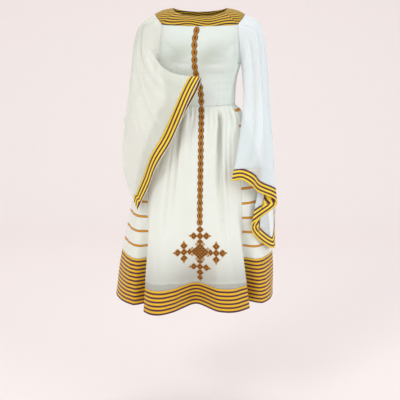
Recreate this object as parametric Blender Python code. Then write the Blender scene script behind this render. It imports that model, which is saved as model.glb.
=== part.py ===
"""A long white dress with striped borders, worn shape, as thin closed walls of cloth.

The frame: metres, +Z up, the front faces -Y. The origin is midway between the two inner shoulder
points of the neckline, where the shoulders carry the dress. Left and right are as seen from the front.
"""

import math
from collections import namedtuple
from functools import lru_cache

import bmesh
import bpy
import numpy as np

# Driving sizes, in millimetres

CLOTH = 1.2                # wall of the bodice, skirt, yoke and borders
SHEER_CLOTH = 1.0          # wall of the sleeves, their cuff borders and the lining
SEAM_GAP = 0.3             # between two pieces at a seam
CUFF_SEAM_GAP = 0.9        # between a sleeve and its border, where the seam turns round folds
SLEEVE_SEAM = 1.9          # from the armhole edge out to where the sleeve starts
YOKE_LEVEL = -58.0         # lower edge of the yoke at its corners
YOKE_DIP = 5.0             # how much lower that edge is at the centre
YOKE_CROWN = 4.0           # how far the yoke rounds up over the collarbone
UNDERARM = -198.0
WAIST = -347.0
HEM = -1111.0
BORDER = 92.0              # one strip of the woven border; the side panels have two
CUFF = 40.0                # border at the opening of a sleeve
CUFF_CORNER = 0.10         # share of the opening over which the border turns a corner
LINING_TOP = -348.4
LINING_HEM = -1022.0
DART_DEPTH = 2.6
DART_HALF_WIDTH = 7.0

CHAIN_UNIT = 26.0          # one link of the embroidered chain
CHAIN_WIDE = 10.0          # half width at the middle of a link
CHAIN_NARROW = 4.5         # half width where two links meet
CHAIN_HIGH = 1.6           # height of the chain's crown over the cloth
CHAIN_STEPS = 3            # sections a link
ORNAMENT_LIFT = 1.1        # between the cloth and what is embroidered on it
ORNAMENT_EDGE = 0.9        # thickness at the edge of the embroidery

CROSS_CENTRE = -884.0
DIAMOND = 12.5             # half a diamond of the cross
LINK = 8.0                 # half a small diamond that joins two others
HEART_DIAMOND = (9.0, 11.0)  # half width and half height of one of the nine diamonds in the middle
SPIKE = 10.0               # length of the points at the ends of the arms
SPIKE_BASE = 3.0           # half width of a point where it starts
NECK = 1.8                 # half width where two diamonds meet
DIAMOND_CROWN = 1.9        # height of a diamond's middle over the cloth

# Rings round the body: half width, depth in front, depth behind, how square, and its centre
Ring = namedtuple("Ring", "level half_width front back square centre")
BODICE_RINGS = (
    Ring(-50, 150, 86, 82, 4.6, 0),
    Ring(-90, 149, 98, 88, 3.6, 0),
    Ring(-130, 149, 113, 93, 2.8, 0),
    Ring(-175, 151, 128, 96, 2.4, 0),
    Ring(-205, 149, 126, 95, 2.3, 0),
    Ring(-240, 140, 113, 91, 2.3, 0),
    Ring(-290, 133, 105, 87, 2.3, 0),
    Ring(-347, 131, 104, 88, 2.3, 0),
)
SKIRT_RINGS = (
    Ring(-347, 131, 104, 88, 2.3, 0),
    Ring(-353, 132.5, 105, 89, 2.3, 0),
    Ring(-366, 147, 112, 98, 2.3, 0),
    Ring(-420, 174, 124, 112, 2.2, 0),
    Ring(-480, 199, 134, 124, 2.2, 0),
    Ring(-560, 226, 147, 140, 2.2, -1),
    Ring(-765, 262, 168, 167, 2.2, -4),
    Ring(-932, 287, 178, 184, 2.2, -10),
    Ring(-1111, 306, 186, 200, 2.2, -20),
)

# Where the skirt's long seams run: x of the front panel's two edges and of the back panel's
Seams = namedtuple("Seams", "level front_left front_right back_left back_right")
SKIRT_SEAMS = (
    Seams(-347, -122, 122, -118, 118),
    Seams(-420, -150, 144, -140, 140),
    Seams(-560, -180, 148, -158, 158),
    Seams(-720, -200, 158, -172, 172),
    Seams(-878, -207, 178, -186, 180),
    Seams(-1111, -224, 212, -215, 185),
)

# Half the width of the bodice between its armholes
Edge = namedtuple("Edge", "level reach")
ARMHOLE_EDGE = (
    Edge(-50, 136),
    Edge(-90, 138),
    Edge(-130, 142),
    Edge(-175, 147.5),
    Edge(-198, 149.3),
)

# Folds of the skirt. Place counts round it: -1 to 1 is the front panel, 1 to 2 the right side panel,
# 2 to 4 the back panel, 4 to 5 the left side panel. The depth is full at one level and none at the other.
SEAM_PLACES = (-1.0, 1.0, 2.0, 4.0, 5.0)
PLACES_ROUND = 6.0
Fold = namedtuple("Fold", "place reach depth none full")
SKIRT_FOLDS = (
    Fold(0.56, 0.11, -27, -775, -400),
    Fold(0.42, 0.10, 7, -640, -400),
    Fold(0.74, 0.06, -10, -470, -380),
    Fold(0.87, 0.05, -9, -450, -380),
    Fold(-0.50, 0.10, -16, -700, -400),
    Fold(-0.34, 0.10, 6, -600, -400),
    Fold(-0.68, 0.06, -9, -480, -380),
    Fold(-0.84, 0.05, -8, -450, -380),
    Fold(-0.03, 0.46, -74, -790, -1111),
    Fold(-0.72, 0.42, 62, -640, -1090),
    Fold(0.62, 0.44, 34, -700, -1090),
    Fold(-1.00, 0.11, -58, -620, -1060),
    Fold(1.00, 0.12, -62, -640, -1060),
    Fold(1.62, 0.30, 12, -560, -1050),
    Fold(4.40, 0.30, 14, -560, -1050),
    Fold(2.00, 0.22, -26, -620, -1080),
    Fold(4.00, 0.22, -26, -620, -1080),
    Fold(2.40, 0.36, 26, -560, -1080),
    Fold(3.60, 0.36, 26, -560, -1080),
    Fold(2.74, 0.26, -24, -600, -1080),
    Fold(3.26, 0.26, -24, -600, -1080),
    Fold(3.00, 0.34, 22, -520, -1080),
    Fold(2.55, 0.08, -14, -700, -400),
    Fold(3.45, 0.08, -14, -700, -400),
    Fold(2.85, 0.06, -9, -560, -390),
    Fold(3.15, 0.06, -9, -560, -390),
)
GATHERS = 42               # small gathers all round under the waist seam
GATHER_DEPTH = 2.4
GATHER_END = -455.0

# How far inside the skirt the lining hangs
Inset = namedtuple("Inset", "level depth")
LINING_INSETS = (
    Inset(-347, 1.4),
    Inset(-350, 1.8),
    Inset(-355, 6),
    Inset(-376, 24),
    Inset(-400, 34),
    Inset(-560, 42),
    Inset(-800, 48),
    Inset(-1022, 70),
)

# The neckline, from the centre of the front round to the centre of the back, on the right half
Point = namedtuple("Point", "x y z")
NECKLINE = (
    Point(0, -62, -28),
    Point(48, -59, -26),
    Point(86, -40, -15),
    Point(99, 0, 0),
    Point(84, 36, -4),
    Point(46, 50, -10),
    Point(0, 53, -12),
)
SHOULDER = Point(164, 0, -20)
SHOULDER_FRONT = Point(156, -44, -33)
SHOULDER_BACK = Point(156, 42, -30)

# Where the chain runs down the front
Course = namedtuple("Course", "level x")
CHAIN_COURSE = (
    Course(-64, -10),
    Course(-125, -20),
    Course(-185, -20),
    Course(-235, -13),
    Course(-275, 0),
    Course(-347, 5),
    Course(-500, 3),
    Course(-685, 0),
    Course(-776, -1),
)

# Lines along each sleeve, in order round it from the opening's upper corner. Each starts at a share of
# the way round the armhole, counted from the shoulder forwards, and ends on the edge of the opening.
Line = namedtuple("Line", "name armhole cap elbow middle edge")
RIGHT_SLEEVE = (
    Line("front corner", 0.36, Point(161, -72, -160), Point(163, -72, -330),
         Point(139, -140, -490), Point(117, -190, -608)),
    Line("front", 0.24, Point(190, -86, -110), Point(205, -98, -300),
         Point(196, -168, -470), Point(156, -194, -604)),
    Line("front outer", 0.12, Point(212, -64, -85), Point(236, -80, -300),
         Point(240, -138, -500), Point(212, -162, -652)),
    Line("first fold", 0.05, Point(224, -38, -78), Point(252, -52, -300),
         Point(270, -88, -530), Point(290, -98, -716)),
    Line("second fold", 0.02, Point(228, -20, -76), Point(256, -36, -300),
         Point(238, -80, -540), Point(189, -150, -797)),
    Line("tip", 0.98, Point(231, 0, -78), Point(261, -12, -300),
         Point(280, -34, -560), Point(284, -72, -898)),
    Line("back outer", 0.90, Point(220, 36, -90), Point(250, 28, -300),
         Point(276, 22, -550), Point(291, -10, -800)),
    Line("back", 0.76, Point(186, 60, -130), Point(216, 54, -300),
         Point(254, 48, -520), Point(272, 26, -700)),
    Line("inner back", 0.62, Point(162, 36, -205), Point(178, 26, -320),
         Point(230, 18, -470), Point(256, -14, -640)),
    Line("inner", 0.50, Point(158, 0, -228), Point(166, -22, -335),
         Point(196, -80, -470), Point(196, -122, -612)),
)
LEFT_SLEEVE = (
    Line("wrist top", 0.20, Point(-193, -66, -72), Point(-178, -72, -152),
         Point(-112, -140, -222), Point(-2, -182, -246)),
    Line("front upper", 0.13, Point(-212, -56, -78), Point(-216, -84, -205),
         Point(-160, -156, -330), Point(-84, -184, -423)),
    Line("front middle", 0.08, Point(-223, -40, -82), Point(-243, -64, -250),
         Point(-208, -136, -425), Point(-142, -170, -535)),
    Line("front lower", 0.04, Point(-229, -20, -84), Point(-259, -36, -290),
         Point(-256, -92, -500), Point(-192, -152, -633)),
    Line("tip", 0.98, Point(-232, 2, -84), Point(-267, 4, -300),
         Point(-297, -4, -575), Point(-232, -130, -738)),
    Line("back lower", 0.88, Point(-222, 38, -95), Point(-254, 30, -300),
         Point(-274, 2, -500), Point(-196, -130, -638)),
    Line("back middle", 0.74, Point(-190, 58, -130), Point(-224, 30, -300),
         Point(-226, -78, -430), Point(-146, -148, -540)),
    Line("back upper", 0.56, Point(-163, 24, -208), Point(-180, -20, -265),
         Point(-168, -104, -330), Point(-90, -146, -434)),
    Line("wrist under", 0.36, Point(-160, -52, -178), Point(-164, -74, -208),
         Point(-112, -116, -272), Point(-8, -140, -284)),
)

# Soft folds of the sleeves. Place counts the lines above; the depth grows from none to full down the sleeve
SleeveFold = namedtuple("SleeveFold", "place reach depth none full")
RIGHT_SLEEVE_FOLDS = (
    SleeveFold(0.70, 0.60, -9, 0.10, 0.45),
    SleeveFold(1.40, 0.55, 8, 0.15, 0.50),
    SleeveFold(2.10, 0.50, -9, 0.12, 0.50),
    SleeveFold(5.60, 0.50, -8, 0.15, 0.55),
    SleeveFold(6.40, 0.55, 8, 0.20, 0.60),
    SleeveFold(7.20, 0.55, -9, 0.20, 0.60),
)
LEFT_SLEEVE_FOLDS = (
    SleeveFold(0.45, 0.55, 9, 0.30, 0.60),
    SleeveFold(1.30, 0.55, -9, 0.25, 0.60),
    SleeveFold(2.10, 0.55, 8, 0.20, 0.60),
    SleeveFold(3.00, 0.60, -10, 0.20, 0.65),
    SleeveFold(5.20, 0.60, -9, 0.20, 0.60),
    SleeveFold(6.20, 0.60, 7, 0.25, 0.60),
)

# Points along each piece: columns across it and rows down it
BODICE_FRONT_COLUMNS = 24
BODICE_BACK_COLUMNS = 9
BODICE_ROWS = 9
SKIRT_FRONT_COLUMNS = 40
SKIRT_SIDE_COLUMNS = 10
SKIRT_BACK_COLUMNS = 22
LINING_COLUMNS = 40
SLEEVE_COLUMNS = 38
SLEEVE_ROWS = 12
CUFF_ROWS = 2
CUFF_EDGE_STEPS = 160      # points round the opening from which the border's width is measured
YOKE_COLUMNS = 18
YOKE_SHOULDER_COLUMNS = 8
YOKE_ROWS = 2
SKIRT_LEVELS = (-353, -368, -388, -415, -460, -530, -610, -690, -760, -810, -860, -900)
BORDER_LEVELS = (-975, -1065)
LINING_LEVELS = (LINING_TOP, -350, -355, -376, -400, -560, -800, LINING_HEM)

SHARPEST_FOLD = 0.75       # a wall is at most this much thicker, as a divisor, along a sharp fold
MOST_TRIM = 0.4            # a seam draws in at most this share of the last row

# Colour, roughness
WHITE = ((0.88, 0.88, 0.84), 0.85)
SHEER = ((0.84, 0.87, 0.92), 0.8)
LINING = ((0.80, 0.80, 0.74), 0.85)
STRIPES = ((0.80, 0.52, 0.05), 0.6)
GOLD = ((0.38, 0.16, 0.02), 0.55)


# Interpolation along a table

def slopes(places, values):
    """Slopes of a smooth curve through the values, level at its turning points."""
    steps = np.diff(values) / np.diff(places)
    inner = np.where(steps[1:] * steps[:-1] > 0, (steps[1:] + steps[:-1]) / 2, 0.0)
    limit = 2 * np.minimum(np.abs(steps[1:]), np.abs(steps[:-1]))
    inner = np.clip(inner, -limit, limit)
    return np.concatenate([steps[:1], inner, steps[-1:]])


@lru_cache(maxsize=None)
def along(rows, column, place):
    """The named column of a table at a level between its rows."""
    places = np.array([row[0] for row in rows], float)
    values = np.array([getattr(row, column) for row in rows], float)
    order = np.argsort(places)
    places = places[order]
    values = values[order]
    place = min(max(place, places[0]), places[-1])
    k = min(int(np.searchsorted(places, place, side="right")) - 1, len(places) - 2)
    span = places[k + 1] - places[k]
    t = (place - places[k]) / span
    slope = slopes(places, values)
    start = values[k] * (2 * t**3 - 3 * t**2 + 1) + values[k + 1] * (3 * t**2 - 2 * t**3)
    return start + span * (slope[k] * (t**3 - 2 * t**2 + t) + slope[k + 1] * (t**3 - t**2))


def through(points, share, closed=False):
    """A point on the smooth curve through the points, at a share of the way by number of points."""
    points = np.asarray(points, float)
    count = len(points)
    if closed:
        place = (share % 1.0) * count
        k = int(place) % count
        before, a, b, after = (points[(k + step) % count] for step in (-1, 0, 1, 2))
        t = place - int(place)
    else:
        place = min(max(share, 0.0), 1.0) * (count - 1)
        k = min(int(place), count - 2)
        t = place - k
        a = points[k]
        b = points[k + 1]
        before = points[k - 1] if k > 0 else 2 * a - b
        after = points[k + 2] if k + 2 < count else 2 * b - a
    return 0.5 * (2 * a + (b - before) * t + (2 * before - 5 * a + 4 * b - after) * t**2
                  + (3 * a - before - 3 * b + after) * t**3)


def ease(t):
    """From 0 to 1, level at both ends."""
    t = min(max(t, 0.0), 1.0)
    return t * t * (3 - 2 * t)


# The surface of the body of the dress

def ring_point(rings, level, angle):
    """A point of the ring at a level, and the way out from it. The angle counts from the front."""
    half_width = along(rings, "half_width", level)
    depth = along(rings, "front" if math.cos(angle) > 0 else "back", level)
    square = along(rings, "square", level)
    across = math.sin(angle)
    ahead = -math.cos(angle)
    radius = (abs(across / half_width) ** square + abs(ahead / depth) ** square) ** (-1 / square)
    x = radius * across
    y = radius * ahead
    out_x = math.copysign(abs(x / half_width) ** (square - 1) / half_width, x)
    out_y = math.copysign(abs(y / depth) ** (square - 1) / depth, y)
    length = math.hypot(out_x, out_y)
    point = np.array([x + along(rings, "centre", level), y, level])
    return point, np.array([out_x / length, out_y / length, 0.0])


def angle_at(rings, level, x, behind=False):
    """The angle at which the ring passes x."""
    low = 0.0
    high = math.pi / 2
    side = math.copysign(1.0, x)
    centre = along(rings, "centre", level)
    for _ in range(40):
        middle = (low + high) / 2
        angle = (math.pi - middle if behind else middle) * side
        if abs(ring_point(rings, level, angle)[0][0] - centre) < abs(x - centre):
            low = middle
        else:
            high = middle
    return (math.pi - low if behind else low) * side


def bust_and_darts(level, x):
    """How far the front stands out at the bust, and in along its two darts."""
    bust = 9 * math.exp(-((abs(x) - 66) / 42) ** 2 - ((level + 178) / 42) ** 2)
    centre = -5 * math.exp(-(x / 32) ** 2 - ((level + 185) / 40) ** 2)
    dart_x = 62 + 24 * ease((level + 347) / 180)
    across = max(0.0, 1 - abs(abs(x) - dart_x) / DART_HALF_WIDTH)
    dart = -DART_DEPTH * ease(across) * ease((-175 - level) / 40)
    return bust + centre + dart


def bodice_point(level, angle):
    point, out = ring_point(BODICE_RINGS, level, angle)
    if abs(angle) < math.pi / 2:
        fade = ease((math.pi / 2 - abs(angle)) / 0.4)
        point = point + out * bust_and_darts(level, point[0]) * fade
    return point


def armhole_angle(level, behind=False):
    """The angle of the bodice's armhole edge at a level, or of its side seam under the armhole."""
    if level <= UNDERARM:
        return math.pi / 2
    return angle_at(BODICE_RINGS, level, along(ARMHOLE_EDGE, "reach", level), behind)


@lru_cache(maxsize=None)
def seam_angles(level):
    """The angles of the skirt's four long seams and of the front panel again, in order of place."""
    def angle(column, behind):
        return angle_at(SKIRT_RINGS, level, along(SKIRT_SEAMS, column, level), behind)

    front_left = angle("front_left", False)
    back_left = angle("back_left", True) + 2 * math.pi
    return [front_left, angle("front_right", False), angle("back_right", True), back_left,
            front_left + 2 * math.pi]


def fold_depth(level, place):
    """How far the skirt's folds move its surface out at a place."""
    total = 0.0
    for fold in SKIRT_FOLDS:
        away = abs((place - fold.place + PLACES_ROUND / 2) % PLACES_ROUND - PLACES_ROUND / 2)
        if away < fold.reach:
            strength = ease((level - fold.none) / (fold.full - fold.none))
            if fold.full > fold.none:
                strength *= ease((WAIST - level) / (WAIST - fold.full))
            total += fold.depth * strength * 0.5 * (1 + math.cos(math.pi * away / fold.reach))
    swell = ease((WAIST - level) / 22) * ease((level - GATHER_END) / (WAIST - 22 - GATHER_END))
    wave = math.sin(2 * math.pi * GATHERS * place / PLACES_ROUND + 1.3 * math.sin(5 * place))
    return total + GATHER_DEPTH * swell * wave


def skirt_point(level, place):
    angles = seam_angles(level)
    place = (place + 1) % PLACES_ROUND - 1
    angle = float(np.interp(place, SEAM_PLACES, angles))
    point, out = ring_point(SKIRT_RINGS, level, math.remainder(angle, 2 * math.pi))
    return point + out * fold_depth(level, place)


# Making a mesh

def add_object(name, vertices, faces, finish):
    """One closed body from points in millimetres, with a material of its own."""
    mesh = bpy.data.meshes.new(name)
    body = bmesh.new()
    corners = [body.verts.new([value * 0.001 for value in point]) for point in vertices]
    for face in faces:
        body.faces.new([corners[k] for k in face])
    bmesh.ops.recalc_face_normals(body, faces=body.faces)
    body.to_mesh(mesh)
    body.free()
    mesh.shade_smooth()
    mesh.set_sharp_from_angle(angle=math.radians(50))
    made = bpy.data.objects.new(name, mesh)
    bpy.context.scene.collection.objects.link(made)
    colour, roughness = finish
    material = bpy.data.materials.new(name)
    material.use_nodes = True
    shader = material.node_tree.nodes["Principled BSDF"]
    shader.inputs["Base Color"].default_value = (*colour, 1.0)
    shader.inputs["Roughness"].default_value = roughness
    mesh.materials.append(material)
    return made


def moved_out(grid, thickness, closed):
    """The grid's points moved out square to the cloth, a little further along a sharp fold."""
    wide = np.concatenate([grid, grid[:, :1]], axis=1) if closed else grid
    down = wide[1:, :-1] - wide[:-1, :-1] + wide[1:, 1:] - wide[:-1, 1:]
    across = wide[:-1, 1:] - wide[:-1, :-1] + wide[1:, 1:] - wide[1:, :-1]
    faces = np.cross(down, across)
    faces = faces / np.linalg.norm(faces, axis=2, keepdims=True)
    total = np.zeros_like(grid)
    columns = grid.shape[1]
    touching = []
    for row_step in (0, 1):
        for column_step in (0, 1):
            part = np.full_like(grid, np.nan)
            for column in range(faces.shape[1]):
                place = (column + column_step) % columns
                part[row_step:row_step + faces.shape[0], place] = faces[:, column]
            touching.append(part)
            total += np.nan_to_num(part)
    out = total / np.linalg.norm(total, axis=2, keepdims=True)
    leaning = np.nanmin(np.stack([(part * out).sum(axis=2) for part in touching]), axis=0)
    return grid + out * (thickness / np.maximum(leaning, SHARPEST_FOLD))[..., None]


def trimmed(inner, outer, sides, gap):
    """Both sides of a wall with the named edges drawn in, square to the seam, by half a gap."""
    walls = [inner.copy(), outer.copy()]
    places = {"top": np.s_[0], "bottom": np.s_[-1], "start": np.s_[:, 0], "end": np.s_[:, -1]}
    nexts = {"top": np.s_[1], "bottom": np.s_[-2], "start": np.s_[:, 1], "end": np.s_[:, -2]}
    for side in sides:
        edge = walls[0][places[side]]
        step = walls[0][nexts[side]] - edge
        seam = np.gradient(edge, axis=0)
        seam /= np.linalg.norm(seam, axis=1, keepdims=True)
        square = step - seam * (step * seam).sum(axis=1, keepdims=True)
        share = np.minimum(gap / 2 / np.linalg.norm(square, axis=1, keepdims=True), MOST_TRIM)
        for wall in walls:
            wall[places[side]] += (wall[nexts[side]] - wall[places[side]]) * share
    return walls


def cloth_wall(name, inner, outer, finish, closed=False):
    """A wall between two grids of points, closed all round its edges."""
    rows, columns = inner.shape[:2]
    count = rows * columns
    vertices = np.concatenate([inner.reshape(-1, 3), outer.reshape(-1, 3)])
    faces = []
    across = columns if closed else columns - 1
    last = (rows - 1) * columns
    for column in range(across):
        a = column
        b = (column + 1) % columns
        faces.append((b, a, a + count, b + count))
        faces.append((a + last, b + last, b + last + count, a + last + count))
        for row in range(rows - 1):
            top = row * columns
            low = top + columns
            faces.append((a + top, b + top, b + low, a + low))
            faces.append((a + top + count, a + low + count, b + low + count, b + top + count))
    if not closed:
        for row in range(rows - 1):
            a = row * columns
            b = a + columns - 1
            faces.append((a, a + columns, a + columns + count, a + count))
            faces.append((b + columns, b, b + count, b + columns + count))
    return add_object(name, vertices, faces, finish)


def outer_side(grid, thickness, closed=False, level_rows=()):
    """The outer side of a wall; at the rows named, such as the waist seam, its edge is level."""
    outer = moved_out(grid, thickness, closed)
    for row in level_rows:
        outer[row, :, 2] = grid[row, :, 2]
    return outer


def panel(name, inner, outer, finish, seams, closed=False, gap=SEAM_GAP):
    """A wall of cloth between two grids, drawn in by half a gap at each of its seams."""
    return cloth_wall(name, *trimmed(inner, outer, seams, gap), finish, closed)


# The yoke

def neckline_point(share):
    """Round the neckline: 0 is the centre of the front, a quarter is the right shoulder."""
    left = [(-point.x, point.y, point.z) for point in NECKLINE[-2:0:-1]]
    return through(list(NECKLINE) + left, share, closed=True)


def yoke_edge(share, behind=False):
    """The lower edge of the yoke, from its left corner at -1 to its right corner at 1."""
    level = YOKE_LEVEL - YOKE_DIP * (1 - share**2)
    angle = armhole_angle(level, behind)
    if behind:
        return bodice_point(level, math.pi + (angle - math.pi) * share)
    return bodice_point(level, angle * share)


def shoulder_edge(share, side):
    """The outer edge of the yoke over a shoulder, from the front corner to the back one."""
    over = [(side * point.x, point.y, point.z) for point in (SHOULDER_FRONT, SHOULDER, SHOULDER_BACK)]
    return through([yoke_edge(side)] + over + [yoke_edge(side, True)], share)


def crowned(top, bottom, share):
    """A point between the neckline and the yoke's outer edge, rounded up over the body."""
    rise = YOKE_CROWN * math.sin(math.pi * share)
    outwards = np.array([bottom[0] - top[0], bottom[1] - top[1], 0.0])
    outwards = outwards / np.linalg.norm(outwards)
    return top + (bottom - top) * share + outwards * rise * 0.5 + np.array([0.0, 0.0, rise])


def yoke_grid(top_of, bottom_of, columns):
    shares = np.linspace(0, 1, columns + 1)
    downs = np.linspace(0, 1, YOKE_ROWS + 1)
    return np.array([[crowned(top_of(share), bottom_of(share), down) for share in shares]
                     for down in downs])


def make_yoke():
    """Four strips round the neck, mitred where the front and back meet the shoulders."""
    corner = 2 / 12
    corner_behind = 4 / 12
    strips = {
        "front": yoke_grid(lambda c: neckline_point(corner * (2 * c - 1)), lambda c: yoke_edge(2 * c - 1),
                           YOKE_COLUMNS),
        "back": yoke_grid(lambda c: neckline_point(0.5 + (0.5 - corner_behind) * (2 * c - 1)),
                          lambda c: yoke_edge(1 - 2 * c, True), YOKE_COLUMNS),
        "shoulder_right": yoke_grid(lambda c: neckline_point(corner + (corner_behind - corner) * c),
                                    lambda c: shoulder_edge(c, 1), YOKE_SHOULDER_COLUMNS),
        "shoulder_left": yoke_grid(lambda c: neckline_point(-corner_behind + (corner_behind - corner) * c),
                                   lambda c: shoulder_edge(1 - c, -1), YOKE_SHOULDER_COLUMNS),
    }
    for name, grid in strips.items():
        panel("yoke_" + name, grid, outer_side(grid, CLOTH), STRIPES, ("bottom", "start", "end"))


# The bodice

def bodice_grid(columns, behind):
    """Rows from the yoke's edge to the waist, columns from one armhole or side seam to the other."""
    shares = np.linspace(-1, 1, columns + 1)
    rows = []
    for down in np.linspace(0, 1, BODICE_ROWS + 1):
        row = []
        for share in shares:
            top = YOKE_LEVEL - YOKE_DIP * (1 - share**2)
            level = top + (WAIST - top) * down
            angle = armhole_angle(level, behind)
            turn = math.pi - (angle - math.pi) * -share if behind else angle * share
            row.append(bodice_point(level, turn))
        rows.append(row)
    grid = np.array(rows)
    return grid[:, ::-1] if behind else grid


def make_bodice():
    seams = ("top", "bottom", "start", "end")
    front = bodice_grid(BODICE_FRONT_COLUMNS, False)
    front_outer = outer_side(front, CLOTH, level_rows=(-1,))
    panel("bodice_front", front, front_outer, WHITE, seams)
    back = bodice_grid(2 * BODICE_BACK_COLUMNS, True)
    back_outer = outer_side(back, CLOTH, level_rows=(-1,))
    halves = (("right", slice(0, BODICE_BACK_COLUMNS + 1)), ("left", slice(BODICE_BACK_COLUMNS, None)))
    for name, half in halves:
        panel("bodice_back_" + name, back[:, half], back_outer[:, half], WHITE, seams)
    return front_outer


# The skirt

def spread(count):
    """Shares from -1 to 1, closer together towards both ends."""
    even = np.linspace(-1, 1, count + 1)
    return even * (1.12 - 0.12 * even**2)


def skirt_places():
    """Places round the skirt and, for each seam, the column that it falls on."""
    front = spread(SKIRT_FRONT_COLUMNS)
    right = np.linspace(1, 2, SKIRT_SIDE_COLUMNS + 1)
    back = np.linspace(2, 4, SKIRT_BACK_COLUMNS + 1)
    left = np.linspace(4, 5, SKIRT_SIDE_COLUMNS + 1)
    places = np.concatenate([front, right[1:], back[1:], left[1:]])
    seams = np.cumsum([0, SKIRT_FRONT_COLUMNS, SKIRT_SIDE_COLUMNS, SKIRT_BACK_COLUMNS, SKIRT_SIDE_COLUMNS])
    return places, seams


def make_skirt():
    """Four panels and their borders, cut from one surface; the side panels carry two strips of border."""
    low_border = HEM + BORDER
    high_border = HEM + 2 * BORDER
    levels = sorted({WAIST, high_border, low_border, HEM, *SKIRT_LEVELS, *BORDER_LEVELS}, reverse=True)
    places, seams = skirt_places()
    inner = np.array([[skirt_point(level, place) for place in places] for level in levels])
    outer = outer_side(inner[:, :-1], CLOTH, True, level_rows=(0, -1))
    outer = np.concatenate([outer, outer[:, :1]], axis=1)
    for k, name in enumerate(("front", "side_right", "back", "side_left")):
        border = levels.index(high_border if "side" in name else low_border)
        columns = slice(seams[k], seams[k + 1] + 1)
        pieces = (("skirt_" + name, slice(0, border + 1), WHITE, ("top", "bottom", "start", "end")),
                  ("hem_band_" + name, slice(border, len(levels)), STRIPES, ("top", "start", "end")))
        for title, rows, finish, sides in pieces:
            panel(title, inner[rows, columns], outer[rows, columns], finish, sides)
    return outer[:, :SKIRT_FRONT_COLUMNS + 1]


def lining_point(level, angle):
    point, out = ring_point(SKIRT_RINGS, level, angle)
    return point - out * along(LINING_INSETS, "depth", level)


def make_lining():
    """The opaque lining that shows through above the border, hanging from the waist seam."""
    angles = np.linspace(0, 2 * math.pi, LINING_COLUMNS, endpoint=False)
    grid = np.array([[lining_point(level, math.remainder(angle, 2 * math.pi)) for angle in angles]
                     for level in LINING_LEVELS])
    outer = outer_side(grid, SHEER_CLOTH, True, level_rows=(0, -1))
    panel("skirt_lining", grid, outer, LINING, (), closed=True)


# The sleeves

def armhole_point(share, side):
    """Round an armhole from the shoulder forwards and down, back up behind."""
    levels = (-90, -130, -170)
    front = [shoulder_edge(0.25, side), shoulder_edge(0, side)]
    front += [bodice_point(level, side * armhole_angle(level)) for level in levels]
    underarm = [bodice_point(UNDERARM, side * math.pi / 2)]
    back = [bodice_point(level, side * armhole_angle(level, True)) for level in levels[::-1]]
    back += [shoulder_edge(1, side), shoulder_edge(0.75, side)]
    points = [shoulder_edge(0.5, side)] + front + underarm + back
    lengths = np.linalg.norm(np.diff(points + points[:1], axis=0), axis=1)
    passed = np.concatenate([[0], np.cumsum(lengths)]) / lengths.sum()
    place = np.interp(share % 1.0, passed, np.arange(len(passed))) / len(points)
    return through(points, place, closed=True) + np.array([side * SLEEVE_SEAM, 0.0, 0.0])


@lru_cache(maxsize=None)
def line_start(share, side):
    return armhole_point(share, side)


def sleeve_point(lines, side, turn, down):
    """A point of a sleeve: turn goes round it, down goes from the armhole to the opening."""
    stations = []
    for line in lines:
        start = line_start(line.armhole, side)
        stations.append(through([start, line.cap, line.elbow, line.middle, line.edge], down))
    point = through(stations, turn, closed=True)
    near = max(0.0, 1 - down * 4) ** 2
    if near > 0:
        starts = [line.armhole for line in lines]
        unwound = np.unwrap(np.array(starts + starts[:1]) * 2 * math.pi) / (2 * math.pi)
        share = np.interp(turn * len(lines), np.arange(len(lines) + 1), unwound)
        plain = through([line_start(line.armhole, side) for line in lines], turn, closed=True)
        point = point + (armhole_point(share, side) - plain) * near
    return point


def sleeve_fold_depth(folds, count, turn, down):
    """How far a sleeve's soft folds move its surface out."""
    total = 0.0
    for fold in folds:
        away = abs((turn * count - fold.place + count / 2) % count - count / 2)
        if away < fold.reach:
            strength = ease((down - fold.none) / (fold.full - fold.none))
            total += fold.depth * strength * 0.5 * (1 + math.cos(math.pi * away / fold.reach))
    return total


def cuff_start(lines, side, turn, edge):
    """How far down a sleeve its border starts: where the opening's edge is as far off as it is wide."""
    apart = np.abs((edge[:, 0] - turn + 0.5) % 1.0 - 0.5)
    near_edge = edge[apart < CUFF_CORNER][:, 1:]
    downs = np.linspace(1.0, 0.6, 41)
    for above, down in zip(downs[1:], downs[:-1]):
        point = sleeve_point(lines, side, turn, above)
        reached = np.linalg.norm(near_edge - point, axis=1).min()
        if reached >= CUFF:
            before = np.linalg.norm(near_edge - sleeve_point(lines, side, turn, down), axis=1).min()
            return down + (above - down) * (CUFF - before) / (reached - before)
    return downs[-1]


def make_sleeve(name, lines, folds, side):
    """A sleeve and the striped border at its opening, as one surface cut in two."""
    turns = np.linspace(0, 1, SLEEVE_COLUMNS, endpoint=False)
    round_edge = np.linspace(0, 1, CUFF_EDGE_STEPS, endpoint=False)
    edge = np.array([[turn, *sleeve_point(lines, side, turn, 1.0)] for turn in round_edge])
    starts = np.array([cuff_start(lines, side, turn, edge) for turn in turns])
    above = [starts * share for share in np.linspace(0, 1, SLEEVE_ROWS + 1) ** 1.15]
    below = [starts + (1 - starts) * share for share in np.linspace(0, 1, CUFF_ROWS + 1)[1:]]
    downs = above + below
    inner = np.array([[sleeve_point(lines, side, turn, down) for turn, down in zip(turns, row)]
                      for row in downs])
    depths = np.array([[sleeve_fold_depth(folds, len(lines), turn, down) for turn, down in zip(turns, row)]
                       for row in downs])
    out = side * (moved_out(inner, 1.0, True) - inner)
    inner = inner + out * depths[..., None]
    if side < 0:
        inner = inner[:, ::-1]
    outer = outer_side(inner, SHEER_CLOTH, True)
    sleeve = slice(0, SLEEVE_ROWS + 1)
    cuff = slice(SLEEVE_ROWS, None)
    panel("sleeve_" + name, inner[sleeve], outer[sleeve], SHEER, ("bottom",), True, CUFF_SEAM_GAP)
    panel("cuff_band_" + name, inner[cuff], outer[cuff], STRIPES, ("top",), True, CUFF_SEAM_GAP)


# The embroidery

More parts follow.
